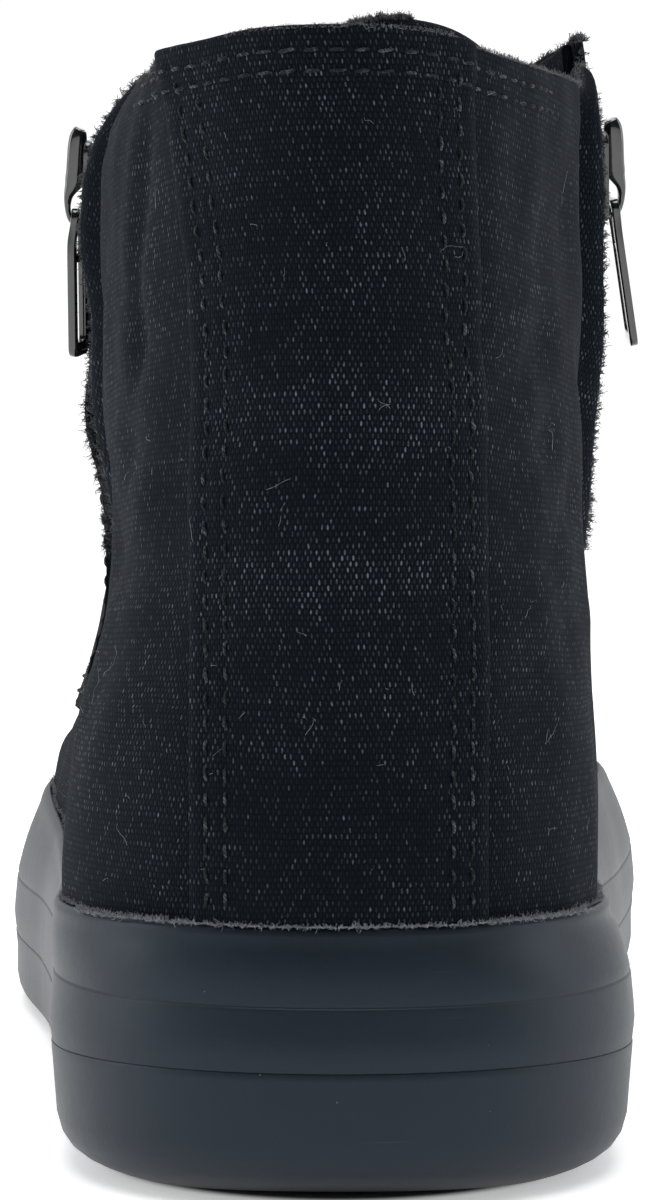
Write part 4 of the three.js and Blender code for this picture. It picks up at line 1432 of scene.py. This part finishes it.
def make_zip(side, word):
    """The tape, and two rows of teeth along it"""
    tape = Bundle()
    offsets, heights = np.meshgrid(np.linspace(-5.6, 5.6, 25), np.linspace(60, 147.5, 110))
    outside, normal = zip_surface(side, heights, offsets)
    inside = outside - normal * 0.55
    grid = np.concatenate([outside, inside[::-1]])
    faces = list(grid_faces(len(grid), 25, wrap_rows=True))
    count = len(heights)
    for column, flip in ((0, True), (24, False)):
        for j in range(count - 1):
            face = [j, j + 1, 2 * count - 2 - j, 2 * count - 1 - j]
            face = [row * 25 + column for row in face]
            faces.append(face if flip else face[::-1])
    if side < 0:
        faces = [np.asarray(face)[::-1] for face in faces]
    tape.add(grid, faces, lengths_on(grid, 12), slots=0)
    dress(tape.make(f"zip_tape_{word}"), "zip_tape", ZIP_WEAVE, nodes=[f"zip_{word}"])
    z = np.arange(63, 145.5, TOOTH_PITCH)
    rows = []
    for lean in (-1, 1):
        heights = z + (0.5 * TOOTH_PITCH if lean > 0 else 0)
        centre, normal = zip_surface(side, heights, np.full_like(heights, 0.55 * lean))
        ahead, _ = zip_surface(side, heights, np.full_like(heights, 0.55 * lean + 1.0))
        out = unit(normal)
        x_axis = unit(ahead - centre) * lean
        x_axis = unit(x_axis - out * np.sum(x_axis * out, axis=1, keepdims=True))
        rows.append((centre + out * 0.35, x_axis, np.cross(out, x_axis), out, np.ones((len(z), 3))))
    return grow_copies(f"zip_chain_{word}", rows, tooth_template(), TOOTH_METAL, "zip_tape")


def tooth_template():
    """One metal tooth: a rounded block with a narrower head, along x, with y along the zip and z out"""
    shape = [(1.35, 0.3, 0.42), (1.2, 0.4, 0.56), (0.5, 0.34, 0.6), (-0.1, 0.42, 0.66), (-1.05, 0.42, 0.6),
             (-1.15, 0.36, 0.46)]
    angles = np.linspace(0, 2 * math.pi, 8, endpoint=False) + math.pi / 8
    a = signed_power(np.cos(angles), 0.6)
    b = signed_power(np.sin(angles), 0.6)
    loops = [np.column_stack([np.full(8, reach), a * along, b * out]) for reach, along, out in shape]
    bundle = Bundle()
    loft(bundle, loops[::-1])
    return bundle.make("tooth")


def slider_frame(side, z):
    """Where a slider's pivot is, and its directions across, up along the zip, and out"""
    t = np.array(row_where("z", z))
    turn = float(side_line(zip_at, side)(t))
    for _ in range(30):
        y = ring(level_at(t), np.array(turn))[1]
        turn += side * (zip_at(z) - y) * 0.006
    seat, normal = frame_at(t, np.array(turn))
    along = np.array([0.0, 47 - 66, 114])
    across = unit(np.cross(along, normal))
    up = unit(np.cross(normal, across))
    return seat + normal * 2.8, across, up, normal


def rounded_outline(half, low, high, corner, count=48):
    """A rounded rectangle, counter-clockwise, with evenly spread points"""
    corners = [(half - corner, high - corner, 0), (corner - half, high - corner, 90),
               (corner - half, low + corner, 180), (half - corner, low + corner, 270)]
    points = []
    for x, y, start in corners:
        for k in range(9):
            a = math.radians(start + 90 * k / 8)
            points.append((x + corner * math.cos(a), y + corner * math.sin(a)))
    points = np.array(points + points[:1])
    lengths = arc_lengths(points)
    at = np.linspace(0, lengths[-1], count, endpoint=False)
    return np.stack([np.interp(at, lengths, points[:, k]) for k in range(2)], 1)


def slab(bundle, place, outline, low, high, bevel, hole=None):
    """A plate with bevelled edges over outline, or a frame where there is a hole"""
    middle = outline.mean(axis=0)

    def loop(points, shrink, z):
        size = np.abs(points - middle).max(axis=0)
        scaled = middle + (points - middle) * (1 - shrink / size)
        return place(np.column_stack([scaled, np.full(len(points), z)]))

    sides = [(bevel, low), (0.3 * bevel, low + 0.3 * bevel), (0, low + bevel), (0, high - bevel),
             (0.3 * bevel, high - 0.3 * bevel), (bevel, high)]
    loops = [loop(outline, shrink, z) for shrink, z in sides]
    if hole is None:
        loft(bundle, loops)
        return
    for shrink, z in sides[::-1]:
        loops.append(loop(hole, -shrink, z))
    loft(bundle, loops, closed=True)


# The bail's middle line along the zip and out of it, with its half thickness and half width
BAIL = np.array([
    [-1.95, -1.25, 0.34, 1.0], [-1.9, -0.1, 0.38, 1.1], [-1.35, 0.8, 0.42, 1.2], [0.2, 1.3, 0.44, 1.3],
    [2.2, 1.26, 0.72, 1.35], [4.2, 0.55, 1.38, 1.45], [5.8, 0.4, 1.4, 1.5], [7.4, 0.35, 1.4, 1.55],
    [9.4, 0.28, 1.4, 1.55], [11.0, 0.15, 1.3, 1.5], [11.9, 0.0, 1.0, 1.3], [12.2, -0.1, 0.7, 1.0],
])


def make_slider(side, word, z):
    """Two plates round the chain, and a bail: closed over its upper part, an arch over the tab's pin below"""
    bundle = Bundle()
    pivot, across, up, out = slider_frame(side, z)

    def place(points):
        points = np.asarray(points)
        return pivot + points[..., :1] * across + points[..., 1:2] * up + points[..., 2:3] * out

    body = rounded_outline(3.15, -2.8, 10.6, 1.5)
    slab(bundle, place, body, -2.05, -0.95, 0.35)
    slab(bundle, place, rounded_outline(3.15, -2.4, 9.6, 1.5), -5.4 + (0.8 if side < 0 else 0), -4.5, 0.3)
    neck = rounded_outline(0.7, 7.4, 9.4, 0.5, 24)
    slab(bundle, place, neck, -4.8, -1.5, 0.1)
    steps = len(BAIL) * 5
    u = np.linspace(0, 1, len(BAIL))
    fine = np.linspace(0, 1, steps)
    along, lift, thick, wide = (spline_at(u, BAIL[:, k], fine) for k in range(4))
    tangent = unit(np.column_stack([np.gradient(along), np.gradient(lift)]))
    over = np.column_stack([np.zeros(steps), -tangent[:, 1], tangent[:, 0]])
    line = np.column_stack([np.zeros(steps), along, lift])
    direction = over[:, :1] * across + over[:, 1:2] * up + over[:, 2:3] * out
    sweep(bundle, place(line), np.tile(across, (steps, 1)), direction, wide, thick, corners=20, power=3.0)
    piece = bundle.make(f"slider_{word}_metal", 35)
    return dress(piece, "black_metal", BLACK_METAL, nodes=[f"slider_{word}"])


def make_tab(side, word, z, rest, twist):
    """A bevelled frame with a long slot, hung on the bail by its cross pin and turned a little on it"""
    bundle = Bundle()
    pivot, across, up, out = slider_frame(side, z)
    angle = math.radians(rest)
    hang = up * math.cos(angle) - out * math.sin(angle)
    straight = out * math.cos(angle) + up * math.sin(angle)

    def place(points):
        points = np.asarray(points)
        turn = math.radians(twist) * smooth(-points[..., 1:2] / 5)
        wide = across * np.cos(turn) + straight * np.sin(turn)
        face = straight * np.cos(turn) - across * np.sin(turn)
        return pivot + points[..., :1] * wide + points[..., 1:2] * hang + points[..., 2:3] * face

    outline = rounded_outline(3.2, -21.6, 0.5, 1.3, 96)
    outline[:, 0] *= 1 - 0.12 * smooth((outline[:, 1] + 7) / 6)
    hole = rounded_outline(1.75, -19.6, -0.55, 0.6, 96)
    slab(bundle, place, outline, -0.6, 0.6, 0.22, hole)
    bar = rounded_outline(1.9, -7.6, -6.3, 0.3, 40)
    slab(bundle, place, bar, -0.45, 0.45, 0.12)
    piece = bundle.make(f"pull_tab_{word}_metal", 35)
    return dress(piece, "black_metal", BLACK_METAL, nodes=[f"pull_tab_{word}"], body=f"pull_{word}")


# Eyelets and lace
def eyelet_rows():
    """Rows evenly spaced along the front, from the throat's bottom to the collar"""
    t = mix(THROAT_ROW, row_where("z", 150), np.linspace(0, 1, 81))
    ridge = ring(level_at(t), np.full_like(t, math.pi))
    lengths = arc_lengths(ridge)
    wanted = mix(7.0, lengths[-1] - 8.5, np.arange(EYELET_ROWS) / (EYELET_ROWS - 1))
    return [t[np.argmax(lengths >= w)] for w in wanted]


def eyelet_places():
    places = {}
    for number, t in enumerate(eyelet_rows(), 1):
        u = (t - THROAT_ROW) / (TOP_ROW - THROAT_ROW)
        reach = mix(7, 12.5, math.sqrt(u)) + 8
        for side in (MEDIAL, LATERAL):
            turn = math.pi
            middle = ring(level_at(np.array(t)), np.array(turn))[0]
            while abs(ring(level_at(np.array(t)), np.array(turn))[0] - middle) < reach:
                turn -= side * 0.01
            places[number, side] = (t, turn)
    return places


EYELETS = eyelet_places()
EYELET_TOP = GAP + OVERLAY + 0.7


def make_eyelets():
    profile = [(2.0, -3.2), (2.7, -3.2), (2.72, -0.6), (2.9, -0.1), (3.9, 0.0), (4.1, 0.14), (4.02, 0.36),
               (3.7, 0.58), (3.2, 0.7), (2.6, 0.68), (2.2, 0.5), (2.02, 0.2)]
    angles = np.linspace(0, 2 * math.pi, 36, endpoint=False)
    for (number, side), (t, turn) in EYELETS.items():
        bundle = Bundle()
        seat, normal = frame_at(np.array(t), np.array(turn))
        a = unit(np.cross(normal, [0.0, 0.0, 1.0]))
        b = np.cross(normal, a)
        loops = [
            seat + normal * (EYELET_TOP + z) + r * (np.outer(np.cos(angles), a) + np.outer(np.sin(angles), b))
            for r, z in profile
        ]
        loft(bundle, loops, closed=True)
        word = WORDS[side]
        piece = bundle.make(f"eyelet_ring_{word}_{number}", 40)
        dress(piece, "black_metal", BLACK_METAL, nodes=[f"eyelet_{word}_{number}"])


def lace_run(bundle, first, last, lift):
    """A flat band up out of one eyelet, across and down into the other"""
    n = 44
    u = np.linspace(0, 1, n)
    t = mix(first[0], last[0], u)
    turn = mix(first[1], last[1], u)
    edge = np.minimum(u, 1 - u)
    span = np.linalg.norm(surface(np.array(first[0]), np.array(first[1]), 0)
                          - surface(np.array(last[0]), np.array(last[1]), 0))
    near = edge * span
    out = mix(0.2, EYELET_TOP + 0.7 + 0.35 + 0.65 + lift, smooth(near / 3.4))
    path = surface(t, turn, out)
    _, normal = frame_at(t, turn)
    along = unit(np.gradient(path, axis=0))
    across = unit(np.cross(along, normal))
    over = np.cross(across, along)
    width = mix(1.35, 2.5, smooth((near - 0.6) / 4.2))
    height = mix(0.85, 0.55, smooth((near - 0.6) / 4.2))
    sweep(bundle, path, across, over, width, height, corners=14)


def make_lace():
    bundle = Bundle()
    lace_run(bundle, EYELETS[1, LATERAL], EYELETS[1, MEDIAL], 0.0)
    for row in range(1, EYELET_ROWS):
        lace_run(bundle, EYELETS[row, MEDIAL], EYELETS[row + 1, LATERAL], 0.65)
        lace_run(bundle, EYELETS[row, LATERAL], EYELETS[row + 1, MEDIAL], -0.15)
    return dress(bundle.make("lace_band"), "lace_cord", LACE_BRAID, nodes=["lace"])


# Sewing
def seam(t, turn, out, seed):
    """Stitches along a line on the surface"""
    p, normal = frame_at(t, turn)
    return stitch_places(p + normal * (out(t, turn) + 0.1)[..., None], normal, seed)


def lifted(function, extra):
    """A surface's distance out, with extra added"""
    return lambda t, turn: function(t, turn) + extra


def stitch_template():
    """One stitch along x, bent down into the cloth at both ends"""
    u = np.linspace(0, 1, 7)
    angles = np.linspace(0, 2 * math.pi, 6, endpoint=False)
    thickness = 0.24 * np.sqrt(np.maximum(0.1, 1 - (2 * u - 1) ** 4))
    height = 0.12 - 0.4 * (2 * u - 1) ** 2
    loops = [
        np.column_stack([np.full(6, STITCH_LENGTH * (at - 0.5)), r * np.cos(angles), z + r * np.sin(angles)])
        for at, r, z in zip(u, thickness, height)
    ]
    bundle = Bundle()
    loft(bundle, loops)
    return bundle.make("stitch")


def strip_seams():
    """Two rows along each edge of the heel strip"""
    rows = np.linspace(row_where("z", 37.5), row_where("z", 151), 400)
    found = []
    for inset in STRIP_SEAMS:
        for side, key in WORDS.items():
            line = back_line(strip_edge(key, inset), side)
            p = ring(level_at(rows), line(rows))
            keep = rows[p[:, 2] < collar_height(3.2 if inset < 3 else 5.8)(p[:, 1], np.full(len(p), key))]
            found += seam(keep, line(keep), strip_out, int(10 * inset) + side)
    return found


def collar_seams():
    """Two rows under the collar, over the quarters and the heel strip"""
    found = []
    for drop in (2.9, 5.5):
        around = np.linspace(-1.05, 1.05, 700)
        t = row_line(collar_height(drop), -1.3, 1.3)(around)
        p = ring(level_at(t), around)
        on_strip = (p[:, 0] < 16.4) & (p[:, 0] > -23.2) & (p[:, 1] < 0)
        behind = p[:, 1] < 36
        strip = np.where(on_strip)[0]
        found += seam(t[strip], around[strip], strip_out, 51)
        for beside in ((p[:, 0] > 0) & ~on_strip & behind, (p[:, 0] < 0) & ~on_strip & behind):
            where = np.where(beside)[0]
            found += seam(t[where], around[where], quarter_out, 53)
    return found


def front_seams(side):
    """Two rows along each edge of a front panel, and two where the quarter laps over the vamp"""
    found = []
    upper_rows = np.linspace(row_where("z", 64), row_where("z", 149), 300)
    for inset in (3.0, 5.4):
        line = side_line(lambda z, i=inset: zip_at(z) + RAW_EDGE + i, side)
        found += seam(upper_rows, line(upper_rows), panel_out, 63)
        throat = offset_line(throat_half(0.4 + inset - 0.6), side)
        high = np.linspace(THROAT_ROW + 0.3, row_where("z", 151), 300)
        found += seam(high, throat(high), panel_out, 65)
        around = np.linspace(1.25, FULL, 500) * side
        low = row_line(panel_low(inset - 0.6), *front_ends(side))(around)
        p = ring(level_at(low), around)
        keep = p[:, 1] > zip_at(p[:, 2]) + RAW_EDGE + inset
        found += seam(low[keep], around[keep], panel_out, 67)
    lower_rows = np.linspace(row_where("z", 38), row_where("z", 58), 120)
    for inset in (1.6, 4.0):
        line = side_line(lambda z, i=inset: quarter_edge(z) - i, side)
        found += seam(lower_rows, line(lower_rows), quarter_out, 69)
    return found


def make_seams():
    """All rows of stitches on the upper"""
    found = strip_seams() + collar_seams() + front_seams(MEDIAL) + front_seams(LATERAL)
    return grow_copies("seams", found, stitch_template(), THREAD, "canvas")


# Frayed edges and lint
def fibre_places(roots, directions, lengths):
    """Axes of fibres that start at roots"""
    z_axis = unit(directions)
    x_axis = unit(np.cross(z_axis, [0.31, 0.52, 0.8]))
    sizes = np.column_stack([np.ones(len(roots)), np.ones(len(roots)), lengths])
    return [(roots, x_axis, np.cross(z_axis, x_axis), z_axis, sizes)]


def grow_fibres(name, found, finish, radius, curl, bend, seed, slot="canvas"):
    places = place_points(name, found)
    sizes = {"Radius": radius * MM, "Curl": curl * MM, "Bend": bend * MM, "Seed": float(seed)}
    FIBRES.grow(places, Finish=finish, **sizes)
    return dress(places, slot)


def fringe(t, turn, out, heading, count, length, seed):
    """Fibres along a line on the surface. heading is how far they lean along it, up it and out of it."""
    rng = np.random.default_rng(seed)
    at = rng.uniform(0, len(t) - 1, count)
    index = np.arange(len(t))
    t_at = np.interp(at, index, t)
    turn_at = np.interp(at, index, turn)
    point, normal = frame_at(t_at, turn_at)
    higher = ring(level_at(np.minimum(TOP_ROW, t_at + 0.05)), turn_at)
    up = unit(higher - point)
    side = unit(np.cross(up, normal))
    lean = rng.normal(size=(count, 3)) * 0.5 + np.asarray(heading)
    direction = side * lean[:, :1] + up * lean[:, 1:2] + normal * lean[:, 2:3]
    roots = point + normal * (out(t_at, turn_at) - rng.uniform(0, 1.0, count))[:, None]
    return fibre_places(roots, direction, length * rng.uniform(0.35, 1.2, count))


def make_collar_fuzz():
    """Frayed thread ends along the quarters' and the heel strip's top"""
    around = np.linspace(-1.76, 1.76, 700)
    rim = row_line(collar_height(0.2), -2.1, 2.1)(around)
    hem = fringe(rim, around, quarter_out, (0, 0.7, 0.1), 4400, 0.5, 71)
    strip = np.abs(around) < 0.42
    hem += fringe(rim[strip], around[strip], strip_out, (0, 0.7, 0.2), 1500, 0.5, 73)
    grow_fibres("collar_fuzz", hem, FRAY, 0.045, 0.5, 0.5, 1)


def make_frayed_edges():
    """Frayed threads on the raw edges beside the zips, and on top of the front panels there"""
    for side, key in WORDS.items():
        edges = []
        rows = np.linspace(row_where("z", 82), row_where("z", 156), 400)
        panel = side_line(panel_edge, side)(rows)
        quarter = side_line(quarter_edge, side)(rows)
        back = -1.0 * side
        for line, out, lean, count in ((panel, panel_out, back, 1800), (quarter, quarter_out, -back, 3600)):
            p = ring(level_at(rows), line)
            keep = p[:, 2] < collar_height(0.4)(p[:, 1], np.full(len(p), key))
            edges += fringe(rows[keep], line[keep], out, (0.8 * lean, 0.1, 0.5), count, 0.95, 75 + count)
        ahead = np.linspace(1.9, 2.2, 80) * side
        top = row_line(collar_height(0.0), *front_ends(side))(ahead)
        count, length = (800, 1.0) if side > 0 else (500, 0.8)
        edges += fringe(top, ahead, panel_out, (0, 1, 0.1), count, length, 79)
        grow_fibres(f"frayed_edges_{key}", edges, FRAY, 0.07, 0.8, 0.7, 2)


def make_sole_fuzz():
    """Pale thread ends where the canvas meets the sole"""
    foot = []
    for span, cover, count in ((np.linspace(-1.25, 1.25, 600), quarter_out, 3600),
                               (np.linspace(-0.52, 0.52, 300), strip_out, 2400)):
        low = row_line(wall_top(0.2), -1.5, 1.5)(span)
        foot += fringe(low, span, lifted(cover, 0.5), (0, 0.5, 0.6), count, 0.5, 81)
    grow_fibres("sole_edge_fuzz_heel", foot, PALE_FRAY, 0.05, 0.5, 0.5, 3)
    foot = []
    for side in (MEDIAL, LATERAL):
        span = np.linspace(1.25, 2.5, 400) * side
        low = row_line(wall_top(0.2), *front_ends(side))(span)
        foot += fringe(low, span, lifted(front_out, 0.5), (0, 0.5, 0.6), 1400, 0.5, 83)
    grow_fibres("sole_edge_fuzz_front", foot, PALE_FRAY, 0.05, 0.5, 0.5, 3)


def make_tongue_fray():
    """Loose threads along the tongue's round top"""
    rng = np.random.default_rng(91)
    tongue = bpy.data.objects["tongue_cloth"]
    points = np.array([v.co for v in tongue.data.vertices]) / MM
    top = points[points[:, 2] > 148]
    arch = tongue_arch((top[:, 0] - TONGUE_MIDDLE) / TONGUE_HALF)
    rim = top[top[:, 2] > arch - 0.5]
    count = 1600
    roots = rim[rng.integers(0, len(rim), count)] + rng.normal(size=(count, 3)) * 0.15
    direction = rng.normal(size=(count, 3)) * 0.5 + [0, 0, 1]
    found = fibre_places(roots, direction, rng.uniform(0.3, 0.95, count))
    return grow_fibres("tongue_fray", found, FRAY, 0.065, 0.8, 0.7, 4)


# Curly hairs that cling to the cloth: x, z, length and heading in degrees from level
CURLY_HAIRS = [
    [-24.0, 127.5, 3.2, 80], [34.5, 131.0, 4.5, 60], [35.0, 129.5, 4.0, 120], [-31.5, 66.0, 4.2, 30],
    [-33.0, 62.0, 5.0, 80], [-8.5, 91.0, 3.4, 20], [6.0, 101.0, 2.4, 150], [-17.5, 84.0, 3.0, 100],
    [24.0, 74.0, 3.2, 40], [12.0, 121.0, 2.8, 10], [-4.0, 60.0, 2.6, 60], [29.0, 96.0, 3.6, 95],
    [27.0, 58.0, 2.8, 45], [-27.0, 45.0, 2.6, 130],
]


def make_lint():
    """Loose hairs and lint that cling to the canvas"""
    rng = np.random.default_rng(95)
    count = 60
    turn = rng.uniform(-1.0, 1.0, count)
    t = rng.uniform(row_where("z", 38), row_where("z", 146), count)
    headings = rng.uniform(0, math.pi, count)
    lengths = rng.uniform(0.5, 1.5, count)
    placed = np.array(CURLY_HAIRS)
    t_placed = np.interp(placed[:, 1], LEVELS[:, 0], np.arange(len(LEVELS)))

    def left_of(angle):
        return ring(level_at(t_placed), angle)[..., 0] < placed[:, 0]

    turn_placed = halving(np.full(len(placed), -1.15), np.full(len(placed), 1.15), left_of)
    t = np.concatenate([t, t_placed])
    turn = np.concatenate([turn, turn_placed])
    headings = np.concatenate([headings, np.radians(placed[:, 3])])
    lengths = np.concatenate([lengths, placed[:, 2]])
    point, normal = frame_at(t, turn)
    strip = (np.abs(point[:, 0]) < 18) & (point[:, 1] < 0)
    out = np.where(strip, strip_out(t, turn), quarter_out(t, turn)) + 0.2
    level = unit(np.cross([0.0, 0.0, 1.0], normal))
    upward = np.cross(normal, level)
    direction = level * np.cos(headings)[:, None] + upward * np.sin(headings)[:, None] + normal * 0.06
    found = fibre_places(point + normal * out[:, None], direction, lengths)
    return grow_fibres("lint_hairs", found, LINT, 0.032, 1.1, 1.6, 5)


# Stage
FLOOR_HALF = 6.0
GLOW_STARTS, GLOW_FULL = 29.0, 32.5


def make_stage():
    """A white floor that glows faintly, except near the shoe, where its shade stays"""
    mesh = bpy.data.meshes.new("floor")
    corners = [(x * FLOOR_HALF, y * FLOOR_HALF, 0) for x, y in ((-1, -1), (1, -1), (1, 1), (-1, 1))]
    mesh.from_pydata(corners, [], [(0, 1, 2, 3)])
    floor = add_object("floor", mesh)
    paint = Paint("floor_white", Roughness=0.6, Emission_Strength=0.4)
    whites = ((0.93, 0.935, 0.94, 1), (0.97, 0.97, 0.97, 1))
    paint.feed("Base Color", paint.blend(paint.noise(paint.place(), 300.0), *whites))
    here = paint.place()
    behind = paint.node("ShaderNodeVectorMath", {0: here, 1: (0, 0, 0)}, operation="MAXIMUM")
    nearest = paint.node("ShaderNodeVectorMath", {0: behind, 1: (0, 215, 0)}, operation="MINIMUM")
    away = paint.node("ShaderNodeVectorMath", {0: here, 1: nearest}, "Value", operation="DISTANCE")
    glow = away.between(GLOW_STARTS, GLOW_FULL)
    paint.feed("Emission Color", paint.blend(glow, (0, 0, 0, 1), (1, 1, 1, 1)))
    floor.data.materials.append(paint.material)


def make_world():
    """White all round, darker behind the camera so that the facing rubber stays dark"""
    world = bpy.data.worlds.new("studio")
    bpy.context.scene.world = world
    world.use_nodes = True
    tree = world.node_tree
    background = tree.nodes["Background"]
    where = tree.nodes.new("ShaderNodeTexCoord")
    parts = tree.nodes.new("ShaderNodeSeparateXYZ")
    tree.links.new(where.outputs["Generated"], parts.inputs[0])
    ramp = tree.nodes.new("ShaderNodeMapRange")
    ramp.interpolation_type = "SMOOTHSTEP"
    for key, value in zip(("From Min", "From Max", "To Min", "To Max"), (-0.6, 0.3, 0.07, 1.0)):
        ramp.inputs[key].default_value = value
    tree.links.new(parts.outputs[1], ramp.inputs["Value"])
    tree.links.new(ramp.outputs[0], background.inputs["Color"])
    background.inputs["Strength"].default_value = 1.1


def add_light(name, at, aim, size, power):
    data = bpy.data.lights.new(name, "AREA")
    data.shape = "RECTANGLE"
    data.size, data.size_y = size
    data.energy = power
    lamp = add_object(name, data)
    lamp.location = at
    direction = np.array(aim) - np.array(at)
    flat = math.hypot(direction[0], direction[1])
    lamp.rotation_euler = (math.atan2(flat, -direction[2]), 0, math.atan2(-direction[0], direction[1]))


def make_camera():
    data = bpy.data.cameras.new("view")
    data.sensor_fit = "VERTICAL"
    data.sensor_height = 36
    data.lens = 36 * FOCAL_SHARE
    data.clip_start = 0.01
    camera = add_object("view", data)
    camera.location = [v * MM for v in CAMERA_AT]
    camera.rotation_euler = (math.radians(90 - CAMERA_DROP), 0, 0)
    bpy.context.scene.camera = camera


make_camera()
make_world()
make_stage()
add_light("top", (0.0, -0.2, 1.2), (0, 0, 0.1), (0.9, 0.7), 9)
add_light("left", (-1.2, 0.0, 0.5), (0, 0, 0.1), (0.5, 0.9), 4.4)
add_light("right", (1.2, 0.0, 0.5), (0, 0, 0.1), (0.5, 0.9), 2.6)
bpy.context.scene.view_settings.view_transform = "Standard"

make_quarters()
make_vamp()
make_heel_strip()
make_front_panel()
make_toe_cap()
make_tongue()
make_outsole()
make_midsole()
make_insole()
for side, word, slider_z, rest, twist in ZIPS:
    make_zip(side, word)
    make_slider(side, word, slider_z)
    make_tab(side, word, slider_z, rest, twist)
make_eyelets()
make_lace()
make_seams()
make_collar_fuzz()
make_frayed_edges()
make_sole_fuzz()
make_tongue_fray()
make_lint()
